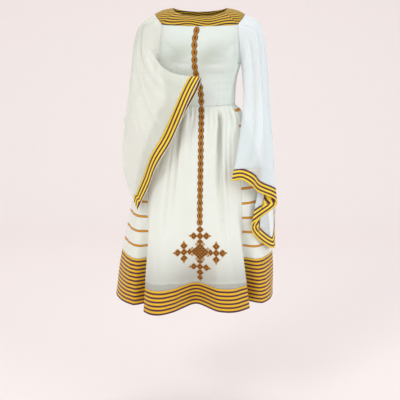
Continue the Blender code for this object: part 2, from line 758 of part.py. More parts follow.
def on_cloth(grid, x, level):
    """The point of a front panel's outer side at x and a level, on its own facets."""
    ys = [np.interp(x, row[:, 0], row[:, 1]) for row in grid]
    zs = [np.interp(x, row[:, 0], row[:, 2]) for row in grid]
    return np.array([x, np.interp(-level, -np.array(zs), ys), level])


def make_chain(name, grid, top, bottom):
    """A stretch of the braided chain: scalloped edges and a low crown, on the front's own points."""
    count = round((top - bottom) / CHAIN_UNIT * CHAIN_STEPS)
    levels = np.linspace(top, bottom, count + 1)
    vertices = []
    for k, level in enumerate(levels):
        swell = abs(math.sin(math.pi * k / CHAIN_STEPS)) ** 0.8
        half = CHAIN_NARROW + (CHAIN_WIDE - CHAIN_NARROW) * swell
        middle = along(CHAIN_COURSE, "x", level)
        for x, lift in ((middle - half, ORNAMENT_EDGE), (middle, CHAIN_HIGH * (0.6 + 0.4 * swell)),
                        (middle + half, ORNAMENT_EDGE), (middle + half, 0), (middle, 0), (middle - half, 0)):
            vertices.append(on_cloth(grid, x, level) - np.array([0.0, ORNAMENT_LIFT + lift, 0.0]))
    side = 6
    faces = []
    for k in range(count):
        for j in range(side):
            a = k * side + j
            b = k * side + (j + 1) % side
            faces.append((a, b, b + side, a + side))
    faces.append(tuple(range(side)))
    faces.append(tuple(range(count * side + side - 1, count * side - 1, -1)))
    add_object(name, vertices, faces, GOLD)


DIRECTIONS = ((1, 0), (0, 1), (-1, 0), (0, -1))

# One diamond of the cross: its centre, its half sizes, and for each of its four corners, right, up,
# left and down, whether it joins a neighbour, ends in a spike or is plain
Tile = namedtuple("Tile", "x z half_width half_height corners")


def cross_tiles():
    """The middle of the cross and its four arms; an arm is a link, a node with two sides, and an end."""
    half_width, half_height = HEART_DIAMOND
    tiles = []
    for column in (-1, 0, 1):
        for row in (-1, 0, 1):
            joins = (column < 1 or row == 0, row < 1 or column == 0,
                     column > -1 or row == 0, row > -1 or column == 0)
            corners = tuple("join" if joined else "plain" for joined in joins)
            tiles.append(Tile(2 * column * half_width, 2 * row * half_height, half_width, half_height, corners))
    for turn in range(4):
        across, up = DIRECTIONS[turn]
        reach = 3 * (half_width if across else half_height)

        def add(distance, aside, half_along, half_beside, kinds):
            """A diamond of this arm; kinds go outward, to the left of that, inward and to the right."""
            x = across * distance - up * aside
            z = up * distance + across * aside
            sizes = (half_along, half_beside) if across else (half_beside, half_along)
            corners = tuple(kinds[(k - turn) % 4] for k in range(4))
            tiles.append(Tile(x, z, *sizes, corners))

        add(reach + LINK, 0, LINK, DIAMOND * 0.8, ("join", "plain", "join", "plain"))
        node = reach + 2 * LINK + DIAMOND
        add(node, 0, DIAMOND, DIAMOND, ("join",) * 4)
        add(node, 2 * DIAMOND, DIAMOND, DIAMOND, ("plain", "spike", "plain", "join"))
        add(node, -2 * DIAMOND, DIAMOND, DIAMOND, ("plain", "join", "plain", "spike"))
        last = node + 2 * DIAMOND
        downward = turn == 3
        end = "join" if downward else ("plain" if turn == 1 else "spike")
        add(last, 0, DIAMOND, DIAMOND, (end, "plain", "join", "plain"))
        if downward:
            add(last + 2 * DIAMOND, 0, DIAMOND, DIAMOND * 0.8, ("plain", "plain", "join", "plain"))
    return tiles


def tile_outline(tile):
    """The corners of one diamond, anticlockwise from its right one."""
    outline = []
    for k, kind in enumerate(tile.corners):
        across, up = DIRECTIONS[k]
        half = tile.half_width if across else tile.half_height
        if kind == "join":
            steps = ((half, -NECK), (half, NECK))
        elif kind == "spike":
            base = half - SPIKE_BASE
            steps = ((base, -SPIKE_BASE), (half + SPIKE, 0.0), (base, SPIKE_BASE))
        else:
            steps = ((half, 0.0),)
        for ahead, aside in steps:
            outline.append((tile.x + across * ahead - up * aside, tile.z + up * ahead + across * aside))
    return outline


def make_cross(grid):
    """Diamonds that meet at narrow necks, each rising to its middle, in one body on the skirt's front."""
    vertices = []
    known = {}
    faces = []
    edges = {}

    def vertex(x, z, lift):
        key = (round(x, 3), round(z, 3), lift)
        if key not in known:
            known[key] = len(vertices)
            lifted = np.array([0.0, ORNAMENT_LIFT + lift, 0.0])
            vertices.append(on_cloth(grid, x, CROSS_CENTRE + z) - lifted)
        return known[key]

    for tile in cross_tiles():
        outline = tile_outline(tile)
        for k, start in enumerate(outline):
            end = outline[(k + 1) % len(outline)]
            faces.append((vertex(*start, ORNAMENT_EDGE), vertex(*end, ORNAMENT_EDGE),
                          vertex(tile.x, tile.z, DIAMOND_CROWN)))
            faces.append((vertex(*end, 0), vertex(*start, 0), vertex(tile.x, tile.z, 0)))
            edge = frozenset((vertex(*start, 0), vertex(*end, 0)))
            edges[edge] = None if edge in edges else (start, end)
    for pair in edges.values():
        if pair:
            start, end = pair
            faces.append((vertex(*start, 0), vertex(*end, 0), vertex(*end, ORNAMENT_EDGE),
                          vertex(*start, ORNAMENT_EDGE)))
    add_object("embroidered_cross", vertices, faces, GOLD)


def main():
    for found in list(bpy.data.objects):
        bpy.data.objects.remove(found)
    make_yoke()
    bodice_front = make_bodice()
    skirt_front = make_skirt()
    make_lining()
    make_sleeve("right", RIGHT_SLEEVE, RIGHT_SLEEVE_FOLDS, 1)
    make_sleeve("left", LEFT_SLEEVE, LEFT_SLEEVE_FOLDS, -1)
    make_chain("embroidered_chain_bodice", bodice_front, CHAIN_COURSE[0].level - 0.5, WAIST + 1.0)
    make_chain("embroidered_chain_skirt", skirt_front, WAIST - 1.6, CHAIN_COURSE[-1].level + 1.0)
    make_cross(skirt_front)


main()
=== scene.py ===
# %% [markdown]
# # A long white dress with striped borders
#
# The real dress is sewn from thin hand-woven cotton. It has a fitted bodice, a gathered skirt, wide
# sheer sleeves, woven borders of yellow and dark maroon stripes, and a chain and a cross in thread.
#
# Its solids come ready made, at their real size. They are walls of cloth with few points, so this
# lesson builds a finer shell on each of them, adds the folds and the stitching, and gives every piece
# a cloth of its own. Left and right are as seen from the front, and the front faces -Y.

import math
from collections import namedtuple

import bmesh
import bpy
import numpy as np
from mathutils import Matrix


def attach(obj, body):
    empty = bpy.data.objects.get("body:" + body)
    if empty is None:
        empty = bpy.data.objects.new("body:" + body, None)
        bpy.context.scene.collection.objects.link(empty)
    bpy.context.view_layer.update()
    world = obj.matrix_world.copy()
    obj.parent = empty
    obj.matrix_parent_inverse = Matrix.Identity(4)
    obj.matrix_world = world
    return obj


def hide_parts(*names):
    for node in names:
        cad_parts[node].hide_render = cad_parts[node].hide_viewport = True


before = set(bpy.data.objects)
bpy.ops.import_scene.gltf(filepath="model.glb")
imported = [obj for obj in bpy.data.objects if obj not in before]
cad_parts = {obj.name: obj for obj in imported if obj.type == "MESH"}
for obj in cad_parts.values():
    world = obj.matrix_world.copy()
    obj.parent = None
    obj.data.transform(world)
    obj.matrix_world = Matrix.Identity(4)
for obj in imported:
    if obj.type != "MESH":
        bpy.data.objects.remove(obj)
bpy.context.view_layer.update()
print("solids loaded:", len(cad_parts))

# %% [markdown]
# ## The studio
#
# The picture is taken from a little above, with the whole dress in view, on a plain pale ground. A
# floor that curves up into a wall behind gives the same colour everywhere. Most of the light comes
# from all round, so that the shadows in the folds stay pale. A warm soft light on the left and a cool
# one on the right model the folds. With the painted warm and cool light in the sleeves' two cloths,
# they make one sleeve look creamy and the other one bluish.

# %% Camera, floor and lights
CAMERA_PLACE = (0.0, -2.9, -0.023)
CAMERA_PITCH = 13.6
FOCAL_PIXELS = 765.0
IMAGE_PIXELS = 400.0
SENSOR = 36.0
FLOOR_LEVEL = -1.62
FLOOR_TONE = (0.885, 0.810, 0.800)

scene = bpy.context.scene
scene.view_settings.view_transform = "Standard"
camera_data = bpy.data.cameras.new("camera")
camera_data.sensor_width = SENSOR
camera_data.lens = FOCAL_PIXELS / IMAGE_PIXELS * SENSOR
camera = bpy.data.objects.new("camera", camera_data)
camera.location = CAMERA_PLACE
camera.rotation_euler = (math.radians(90 - CAMERA_PITCH), 0, 0)
scene.collection.objects.link(camera)
scene.camera = camera


def make_backdrop():
    """A floor that turns up into a wall behind in one smooth bend."""
    bend_start = 2.6
    bend = 1.8
    profile = [(-6.0, 0.0), (bend_start, 0.0)]
    for turn in np.linspace(0.1, math.pi / 2, 14):
        profile.append((bend_start + bend * math.sin(turn), bend - bend * math.cos(turn)))
    profile.append((bend_start + bend, 9.0))
    half = 9.0
    points = [(x, y, FLOOR_LEVEL + height) for y, height in profile for x in (-half, half)]
    faces = [(2 * k, 2 * k + 1, 2 * k + 3, 2 * k + 2) for k in range(len(profile) - 1)]
    mesh = bpy.data.meshes.new("floor")
    mesh.from_pydata(points, [], faces)
    mesh.shade_smooth()
    made = bpy.data.objects.new("floor", mesh)
    scene.collection.objects.link(made)
    return made


floor = make_backdrop()

Light = namedtuple("Light", "name place target size power tone")
LIGHTS = (
    Light("key", (-2.4, -3.2, 2.4), (0, 0, -0.5), 1.6, 51, (1.0, 0.985, 0.94)),
    Light("fill", (3.0, -2.4, 0.8), (0, 0, -0.5), 2.2, 32, (0.84, 0.94, 1.0)),
    Light("top", (0, 0.8, 3.0), (0, 0, -0.3), 2.2, 24, (0.97, 1.0, 1.0)),
)
for light in LIGHTS:
    data = bpy.data.lights.new(light.name, "AREA")
    data.shape = "DISK"
    data.size = light.size
    data.energy = light.power
    data.color = light.tone
    lamp = bpy.data.objects.new(light.name, data)
    lamp.location = light.place
    away = np.array(light.place) - np.array(light.target)
    lamp.rotation_euler = (math.atan2(math.hypot(away[0], away[1]), away[2]), 0,
                           math.atan2(away[0], -away[1]))
    scene.collection.objects.link(lamp)
world = bpy.data.worlds.new("studio air")
world.use_nodes = True
world.node_tree.nodes["Background"].inputs["Color"].default_value = (0.985, 1.0, 1.0, 1)
world.node_tree.nodes["Background"].inputs["Strength"].default_value = 0.87
scene.world = world
print("camera lens:", round(camera_data.lens, 1), "mm, lights:", len(LIGHTS))

# %% [markdown]
# ## The cloths
#
# The dress has a thin white cotton for the skirt, a closer one for the bodice, in a front copy darkened
# by painted shade and a back copy lightened by painted light, one sheer cotton for the sleeves in two
# copies that differ by painted warm and cool light, a lining, the striped border, and silky thread. A
# plain weave is two sets of threads that pass over and under each other, so its height is the product of
# two sine waves, one along each thread. The height goes to a bump node. Reading the piece's own UV map,
# which is in metres, keeps the threads at their true size and makes them turn with the cloth on every fold.

# %% Helpers for materials
UV_NAME = "cloth"


class Cloth:
    """A material in the making: its node tree, with short calls for the nodes that weaves need."""

    def __init__(self, name, roughness):
        self.material = bpy.data.materials.new(name)
        self.material.use_nodes = True
        self.tree = self.material.node_tree
        self.shader = self.tree.nodes["Principled BSDF"]
        self.shader.inputs["Roughness"].default_value = roughness
        uv = self.tree.nodes.new("ShaderNodeUVMap")
        uv.uv_map = UV_NAME
        split = self.tree.nodes.new("ShaderNodeSeparateXYZ")
        self.link(uv.outputs["UV"], split.inputs[0])
        self.uv = uv.outputs["UV"]
        self.u = split.outputs["X"]
        self.v = split.outputs["Y"]

    def link(self, start, end):
        self.tree.links.new(start, end)

    def math(self, operation, first, second=None, third=None):
        node = self.tree.nodes.new("ShaderNodeMath")
        node.operation = operation
        for socket, value in zip(node.inputs, (first, second, third)):
            if value is None:
                continue
            if isinstance(value, (int, float)):
                socket.default_value = value
            else:
                self.link(value, socket)
        return node.outputs[0]

    def wave(self, along, pitch, phase=0.0):
        """A sine wave with one crest each pitch, in metres."""
        turned = self.math("MULTIPLY_ADD", along, 2 * math.pi / pitch, phase)
        return self.math("SINE", turned)

    def noise(self, scale, detail=2.0, stretch=(1, 1, 1), source=None):
        stretched = self.tree.nodes.new("ShaderNodeMapping")
        stretched.inputs["Scale"].default_value = stretch
        self.link(source or self.uv, stretched.inputs["Vector"])
        node = self.tree.nodes.new("ShaderNodeTexNoise")
        node.inputs["Scale"].default_value = scale
        node.inputs["Detail"].default_value = detail
        self.link(stretched.outputs[0], node.inputs["Vector"])
        return node.outputs["Fac"]

    def ramp(self, value, stops):
        node = self.tree.nodes.new("ShaderNodeValToRGB")
        elements = node.color_ramp.elements
        for k, (place, colour) in enumerate(stops):
            element = elements[k] if k < 2 else elements.new(place)
            element.position = place
            element.color = (*colour, 1)
        self.link(value, node.inputs["Fac"])
        return node.outputs["Color"]

    def blend(self, share, first, second, kind="MIX"):
        node = self.tree.nodes.new("ShaderNodeMix")
        node.data_type = "RGBA"
        node.blend_type = kind
        sockets = [socket for socket in node.inputs if socket.type == "RGBA"]
        for socket, value in ((node.inputs["Factor"], share), (sockets[0], first), (sockets[1], second)):
            if isinstance(value, (int, float)):
                socket.default_value = value
            elif isinstance(value, tuple):
                socket.default_value = (*value, 1)
            else:
                self.link(value, socket)
        return [socket for socket in node.outputs if socket.type == "RGBA"][0]

    def colour(self, value):
        self.link(value, self.shader.inputs["Base Color"])

    def bump(self, height, depth, strength=1.0):
        node = self.tree.nodes.new("ShaderNodeBump")
        node.inputs["Strength"].default_value = strength
        node.inputs["Distance"].default_value = depth
        self.link(height, node.inputs["Height"])
        self.link(node.outputs["Normal"], self.shader.inputs["Normal"])

    def set(self, **sockets):
        for name, value in sockets.items():
            self.shader.inputs[name.replace("_", " ")].default_value = value


def plain_weave(cloth, pitch):
    """The height of a plain weave, with threads that are a little thicker here and there."""
    threads = cloth.math("MULTIPLY", cloth.wave(cloth.u, pitch), cloth.wave(cloth.v, pitch))
    slub = cloth.math("ADD", cloth.noise(60, 3, (1, 14, 1)), cloth.noise(60, 3, (14, 1, 1)))
    return cloth.math("ADD", cloth.math("MULTIPLY", threads, 0.5), slub)


# %% [markdown]
# ### White cotton, sheer cotton and lining
#
# Hand-spun cotton is never one white. Its colour drifts in long faint streaks along both threads, so
# two stretched noises tint it by a few hundredths. A little sheen lights the fuzz at grazing angles.
# The sleeves are woven so openly that one sees through them: each face of their shell lets some of
# the light past, and folds grow whiter by themselves, where several layers lie behind each other. One
# sleeve is painted a warmer, slightly darker white and the other a cooler, brighter one: painted warm
# and cool light, in two copies of one sheer cloth.
#
# Thin cloth takes a tone from what is behind it. On the real dress the skirt is greyer near its hem,
# where it hangs away from the lining and shade shows through it, and greyest below the lining's own
# hem. The bodice is greyer in the shade over the bust. The lights here can't give that, so the two
# materials blend in a painted shade: by height and by the distance from the lining, and by two soft
# spots on the UV map.

# %% Make the plain cottons
THREAD_PITCH = 0.0011


def plain_cotton(name, light, dark, alpha, sheen):
    cloth = Cloth(name, 0.86)
    streaks = cloth.math("ADD", cloth.noise(9, 4, (1, 9, 1)), cloth.noise(9, 4, (9, 1, 1)))
    broad = cloth.noise(5, 2)
    tone = cloth.math("MULTIPLY_ADD", broad, 0.5, cloth.math("MULTIPLY", streaks, 0.25))
    cloth.colour(cloth.ramp(tone, ((0.3, dark), (0.7, light))))
    cloth.bump(plain_weave(cloth, THREAD_PITCH), 0.00025, 0.5)
    cloth.set(Alpha=alpha, Sheen_Weight=sheen, Sheen_Roughness=0.5, Specular_IOR_Level=0.2)
    return cloth


# The tones of the front bodice, darker than the back's as painted shade, and on its UV map, in metres, the
# two spots of painted shade over the bust
BODICE_FRONT_SHADED_TONES = ((0.73, 0.775, 0.73), (0.685, 0.73, 0.685))
BUST_SHADE_TONE = (0.52, 0.545, 0.48)
BUST_SHADE_MIDDLE = 0.165
BUST_SHADE_ASIDE = 0.060
BUST_SHADE_WIDE = 0.060
BUST_SHADE_DOWN = 0.105
BUST_SHADE_HIGH = 0.045


def shaded_bodice_front_cotton():
    """The cotton of the bodice's front, with a painted shade that makes it less white over the bust."""
    cloth = plain_cotton("bodice front cotton", *BODICE_FRONT_SHADED_TONES, 1.0, 0.15)
    white = cloth.shader.inputs["Base Color"].links[0].from_socket
    beside = cloth.math("ABSOLUTE", cloth.math("SUBTRACT", cloth.u, BUST_SHADE_MIDDLE))
    beside = cloth.math("DIVIDE", cloth.math("SUBTRACT", beside, BUST_SHADE_ASIDE), BUST_SHADE_WIDE)
    beside = cloth.math("POWER", beside, 2)
    level = cloth.math("DIVIDE", cloth.math("SUBTRACT", cloth.v, BUST_SHADE_DOWN), BUST_SHADE_HIGH)
    level = cloth.math("POWER", level, 2)
    away = cloth.math("ADD", beside, level)
    share = cloth.math("EXPONENT", cloth.math("MULTIPLY", away, -1.0))
    # Painted shade: two soft spots over the bust blend the white to a grey
    cloth.colour(cloth.blend(share, white, BUST_SHADE_TONE))
    return cloth.material


# The tones of the skirt, the tone and levels of its painted shade, and half the lining's width and depth, in
# metres
SKIRT_TONES = ((0.94, 0.955, 0.885), (0.895, 0.91, 0.84))
SKIRT_ALPHA = 0.78
PAINTED_SHADE_TONE = (0.475, 0.475, 0.425)
SHADE_FROM = -0.800
SHADE_LONG = 0.185
SHADE_DEPTH = 0.64
UNLINED_SHADE_FROM = -1.022
UNLINED_SHADE_RISE = 0.034
UNLINED_SHADE_FADE = 0.010
LINING_HALF_WIDTH = 0.217
LINING_DEPTH = 0.108


def skirt_cotton():
    """The thin cotton of the skirt's front and back, with a painted shade. It is painted greyer on its way
    down, as it hangs further from the lining and shade shows through, and greyest where no lining is
    behind it. That starts at a level that lies higher where the skirt stands further out from the
    lining's hem."""
    cloth = plain_cotton("white cotton", *SKIRT_TONES, SKIRT_ALPHA, 0.2)
    white = cloth.shader.inputs["Base Color"].links[0].from_socket
    place = cloth.tree.nodes.new("ShaderNodeTexCoord")
    split = cloth.tree.nodes.new("ShaderNodeSeparateXYZ")
    cloth.link(place.outputs["Object"], split.inputs[0])
    beside = cloth.math("POWER", cloth.math("DIVIDE", split.outputs["X"], LINING_HALF_WIDTH), 2)
    ahead = cloth.math("POWER", cloth.math("DIVIDE", split.outputs["Y"], LINING_DEPTH), 2)
    gap = cloth.math("SUBTRACT", cloth.math("SQRT", cloth.math("ADD", beside, ahead)), 1.0)
    start = cloth.math("MULTIPLY_ADD", cloth.math("MINIMUM", gap, 1.0), UNLINED_SHADE_RISE, UNLINED_SHADE_FROM)
    below = cloth.math("DIVIDE", cloth.math("SUBTRACT", start, split.outputs["Z"]), UNLINED_SHADE_FADE)
    share = cloth.ramp(below, ((0.0, (0, 0, 0)), (1.0, (1, 1, 1))))
    low = cloth.math("DIVIDE", cloth.math("SUBTRACT", SHADE_FROM, split.outputs["Z"]), SHADE_LONG)
    low = cloth.math("POWER", cloth.math("MINIMUM", cloth.math("MAXIMUM", low, 0.0), 1.0), 2)
    share = cloth.math("MAXIMUM", share, cloth.math("MULTIPLY", low, SHADE_DEPTH))
    # Painted shade: the white blends to a grey towards the hem and below the lining's hem
    cloth.colour(cloth.blend(share, white, PAINTED_SHADE_TONE))
    return cloth.material


white_cotton = skirt_cotton()
# Painted light: the back bodice's cotton is lighter than the front's, to lift the back, which is in shade
# from the lamps in front
bodice_back_cotton_painted_light = plain_cotton("bodice back cotton", (0.80, 0.84, 0.79), (0.76, 0.80, 0.75), 1.0, 0.15).material
bodice_front_cotton = shaded_bodice_front_cotton()
# Painted light: the right sleeve's copy is cooler and brighter, the left's warmer with a little painted shade
sheer_painted_cool_light = plain_cotton("cool sheer cotton", (0.95, 1.0, 1.0), (0.89, 0.96, 1.0), 0.38, 0.4).material
sheer_painted_warm_light = plain_cotton("warm sheer cotton", (0.92, 0.94, 0.86), (0.84, 0.86, 0.78), 0.33, 0.4).material
lining_cotton = plain_cotton("lining cotton", (0.93, 0.935, 0.87), (0.88, 0.885, 0.82), 1.0, 0.1).material
floor_paint = Cloth("floor", 0.9)
floor_paint.set(Base_Color=(*FLOOR_TONE, 1), Specular_IOR_Level=0.1)
floor.data.materials.append(floor_paint.material)
print("plain cottons made")

# %% [markdown]
# ### The striped border
#
# The border is woven in bright yellow and dark maroon bars. Its stripes run along the strip, so their
# place depends only on the way across it, which is the V of the UV map. One ramp turns the fraction
# of a pair of stripes into colour; short steps at the joins stand for the threads that mix there. The
# weft shows as fine ribs across the stripes, and each yellow bar stands a hair higher than a dark one.
# The left cuff ends in a narrow pale edge.

# %% Make the striped borders
PALE_EDGE = 0.0025
PALE_EDGE_TONE = (0.86, 0.82, 0.68)


def striped(name, pair, yellow_first, yellow, deep_yellow, dark, wander=0.0, pale_edge=None):
    cloth = Cloth(name, 0.55)
    across = cloth.v
    if wander:
        drift = cloth.math("SUBTRACT", cloth.noise(11, 1, (1, 0.35, 1)), 0.5)
        across = cloth.math("MULTIPLY_ADD", drift, wander, across)
    place = cloth.math("FRACT", cloth.math("DIVIDE", across, pair))
    first, second = (yellow, dark) if yellow_first else (dark, yellow)
    stops = ((0.0, second), (0.05, first), (0.48, first), (0.54, second), (0.95, second), (1.0, first))
    plain = cloth.ramp(place, stops)
    if pale_edge:
        plain = cloth.blend(cloth.math("GREATER_THAN", cloth.v, pale_edge), plain, PALE_EDGE_TONE)
    wear = cloth.math("MULTIPLY", cloth.noise(70, 3, (1, 8, 1)), 0.5)
    worn = cloth.blend(wear, plain, deep_yellow, "MULTIPLY")
    cloth.colour(worn)
    ribs = cloth.math("MULTIPLY", cloth.wave(cloth.u, 0.0012), 0.4)
    bars = cloth.math("MULTIPLY", cloth.wave(across, pair, 0.0 if yellow_first else math.pi), 0.6)
    cloth.bump(cloth.math("ADD", ribs, bars), 0.0003, 0.6)
    cloth.set(Sheen_Weight=0.15, Sheen_Roughness=0.4, Specular_IOR_Level=0.35)
    return cloth.material


HEM_WIDE = 0.092
HEM_PAIR = HEM_WIDE / 6
CUFF_WIDE = 0.040
CUFF_PAIR = CUFF_WIDE / 3
YOKE_PAIR = 0.0092
YELLOW = (0.95, 0.68, 0.030)
HEM_YELLOW = (0.82, 0.49, 0.014)
MAROON = (0.085, 0.022, 0.045)
YOKE_YELLOW = (0.68, 0.42, 0.012)
YOKE_MAROON = (0.022, 0.006, 0.008)
HEM_WEAR = (1.0, 0.80, 0.55)
CUFF_WEAR = (1.0, 0.85, 0.6)
YOKE_WEAR = (1.0, 0.78, 0.5)
LEFT_CUFF_STRIPED = CUFF_WIDE - PALE_EDGE
hem_stripes = striped("hem stripes", HEM_PAIR, True, HEM_YELLOW, HEM_WEAR, MAROON)
left_cuff_stripes = striped("left cuff stripes", LEFT_CUFF_STRIPED / 3, True, YELLOW, CUFF_WEAR, MAROON,
                            pale_edge=LEFT_CUFF_STRIPED)
right_cuff_stripes = striped("right cuff stripes", CUFF_PAIR, False, YELLOW, CUFF_WEAR, MAROON)
yoke_stripes = striped("yoke stripes", YOKE_PAIR, True, YOKE_YELLOW, YOKE_WEAR, YOKE_MAROON, wander=0.003)
print("pair of stripes at the hem:", round(HEM_PAIR * 1000, 1), "mm")

# %% [markdown]
# ### Side panels and thread
#
# The side panels are the same white cotton with thin orange-brown lines woven in, one above the other
# from the border to the waist. Here V counts metres below the shoulders, so a line is simply a level.
#
# The chain and the cross are filled with shiny twisted thread. Twist shows as slanted ridges, and a
# sheen along it, so a fine wave on Object coordinates bumps the thread and paints it lighter and darker
# along the ridges, a painted sheen, and a lower roughness does the rest.

# %% Make the lined side cotton and the threads
LINE_PITCH = 0.0565
LINE_START = 0.8765
LINE_WIDTH = 0.0090
LINE_TONE = (0.78, 0.36, 0.025)
LINE_EDGE_TONE = (0.46, 0.15, 0.015)


def lined_cotton():
    cloth = plain_cotton("lined cotton", *SKIRT_TONES, SKIRT_ALPHA, 0.2)
    white = cloth.shader.inputs["Base Color"].links[0].from_socket
    steps = cloth.math("DIVIDE", cloth.math("SUBTRACT", cloth.v, LINE_START), LINE_PITCH)
    away = cloth.math("ABSOLUTE", cloth.math("SUBTRACT", steps, cloth.math("ROUND", steps)))
    half = LINE_WIDTH / LINE_PITCH / 2
    inside = cloth.math("LESS_THAN", away, half)
    above = cloth.math("LESS_THAN", cloth.v, LINE_START + LINE_WIDTH)
    stops = ((0.2, LINE_TONE), (0.95, LINE_EDGE_TONE))
    edge = cloth.ramp(cloth.math("DIVIDE", away, half), stops)
    cloth.colour(cloth.blend(cloth.math("MULTIPLY", inside, above), white, edge))
    return cloth.material


def silk_thread(name, light, dark, twist=0.0016):
    cloth = Cloth(name, 0.42)
    place = cloth.tree.nodes.new("ShaderNodeTexCoord")
    split = cloth.tree.nodes.new("ShaderNodeSeparateXYZ")
    cloth.link(place.outputs["Object"], split.inputs[0])
    slant = cloth.math("ADD", split.outputs["X"], split.outputs["Z"])
    ridges = cloth.wave(slant, twist)
    blotches = cloth.noise(300, 2, source=place.outputs["Object"])
    # The ridges paint the thread lighter and darker, a painted sheen; the blotches are a random tone
    share = cloth.math("MULTIPLY_ADD", ridges, 0.18, blotches)
    cloth.colour(cloth.ramp(share, ((0.3, dark), (0.7, light))))
    cloth.bump(ridges, 0.0002, 0.5)
    cloth.set(Sheen_Weight=0.05, Specular_IOR_Level=0.3)
    return cloth.material


lined_side_cotton = lined_cotton()
gold_thread = silk_thread("gold thread", (0.52, 0.215, 0.006), (0.33, 0.115, 0.004))
brown_thread = silk_thread("brown thread", (0.15, 0.048, 0.010), (0.08, 0.024, 0.007))
pale_thread = silk_thread("pale gold thread", (0.85, 0.60, 0.25), (0.70, 0.42, 0.12))
white_thread = silk_thread("white thread", (0.88, 0.88, 0.84), (0.78, 0.78, 0.74), twist=0.0008)
yellow_thread = silk_thread("yellow thread", (0.80, 0.46, 0.05), (0.62, 0.32, 0.03), twist=0.0008)
print("threads made")

# %% [markdown]
# ## The form of the dress
#
# The body of the dress is a stack of rings, wider in front than behind and squarer at the chest. A
# curve through a short table gives each measure at any level. The same tables that shaped the solids
# are used here in millimetres, so the fine cloth lies exactly where the solids are.

# %% Tables of the body
MM = 0.001
WAIST = -347.0
HEM = -1111.0
BORDER = 92.0
CUFF = 40.0
UNDERARM = -198.0
YOKE_LEVEL = -58.0
YOKE_DIP = 5.0
YOKE_CROWN = 4.0
SOLID_WALL = 1.2
SHEER_WALL = 1.0

Ring = namedtuple("Ring", "level half_width front back square centre")
BODICE_RINGS = (
    Ring(-50, 150, 86, 82, 4.6, 0),
    Ring(-90, 149, 98, 88, 3.6, 0),
    Ring(-130, 149, 113, 93, 2.8, 0),
    Ring(-175, 151, 128, 96, 2.4, 0),
    Ring(-205, 149, 126, 95, 2.3, 0),
    Ring(-240, 140, 113, 91, 2.3, 0),
    Ring(-290, 133, 105, 87, 2.3, 0),
    Ring(-347, 131, 104, 88, 2.3, 0),
)
SKIRT_RINGS = (
    Ring(-347, 131, 104, 88, 2.3, 0),
    Ring(-353, 132.5, 105, 89, 2.3, 0),
    Ring(-366, 147, 112, 98, 2.3, 0),
    Ring(-420, 174, 124, 112, 2.2, 0),
    Ring(-480, 199, 134, 124, 2.2, 0),
    Ring(-560, 226, 147, 140, 2.2, -1),
    Ring(-765, 262, 168, 167, 2.2, -4),
    Ring(-932, 287, 178, 184, 2.2, -10),
    Ring(-1111, 306, 186, 200, 2.2, -20),
)
Seams = namedtuple("Seams", "level front_left front_right back_left back_right")
SKIRT_SEAMS = (
    Seams(-347, -122, 122, -118, 118),
    Seams(-420, -150, 144, -140, 140),
    Seams(-560, -180, 148, -158, 158),
    Seams(-720, -200, 158, -172, 172),
    Seams(-878, -207, 178, -186, 180),
    Seams(-1111, -224, 212, -215, 185),
)
Edge = namedtuple("Edge", "level reach")
ARMHOLE_EDGE = (Edge(-50, 136), Edge(-90, 138), Edge(-130, 142), Edge(-175, 147.5), Edge(-198, 149.3))
Inset = namedtuple("Inset", "level depth")
LINING_INSETS = (
    Inset(-347, 1.4), Inset(-350, 1.8), Inset(-355, 6), Inset(-376, 24), Inset(-400, 34),
    Inset(-560, 42), Inset(-800, 48), Inset(-1022, 70),
)


# %% Curves through a table
def ease(t):
    """From 0 to 1, level at both ends."""
    t = np.clip(t, 0.0, 1.0)
    return t * t * (3 - 2 * t)


def slopes(places, values):
    """Slopes of a smooth curve through the values, level at its turning points."""
    steps = np.diff(values) / np.diff(places)
    inner = np.where(steps[1:] * steps[:-1] > 0, (steps[1:] + steps[:-1]) / 2, 0.0)
    limit = 2 * np.minimum(np.abs(steps[1:]), np.abs(steps[:-1]))
    return np.concatenate([steps[:1], np.clip(inner, -limit, limit), steps[-1:]])


def along(rows, column, place):
    """The named column of a table at each level."""
    rows = sorted(rows)
    places = np.array([row[0] for row in rows], float)
    values = np.array([getattr(row, column) for row in rows], float)
    place = np.clip(np.asarray(place, float), places[0], places[-1])
    k = np.clip(np.searchsorted(places, place, side="right") - 1, 0, len(places) - 2)
    span = places[k + 1] - places[k]
    t = (place - places[k]) / span
    slope = slopes(places, values)
    start = values[k] * (2 * t**3 - 3 * t**2 + 1) + values[k + 1] * (3 * t**2 - 2 * t**3)
    return start + span * (slope[k] * (t**3 - 2 * t**2 + t) + slope[k + 1] * (t**3 - t**2))


def bend(before, a, b, after, t):
    """A smooth curve from a to b that takes its direction from the points before and after."""
    return 0.5 * (2 * a + (b - before) * t + (2 * before - 5 * a + 4 * b - after) * t**2
                  + (3 * a - before - 3 * b + after) * t**3)


def through(points, share, closed=False):
    """Points on the smooth curve through some points, at shares of the way by number of points."""
    points = np.asarray(points, float)
    share = np.atleast_1d(np.asarray(share, float))
    count = len(points)
    if closed:
        place = (share % 1.0) * count
        k = place.astype(int) % count
        t = (place - place.astype(int))[:, None]
        return bend(points[k - 1], points[k], points[(k + 1) % count], points[(k + 2) % count], t)
    place = np.clip(share, 0.0, 1.0) * (count - 1)
    k = np.minimum(place.astype(int), count - 2)
    t = (place - k)[:, None]
    wide = np.concatenate([2 * points[:1] - points[1:2], points, 2 * points[-1:] - points[-2:-1]])
    return bend(wide[k], wide[k + 1], wide[k + 2], wide[k + 3], t)


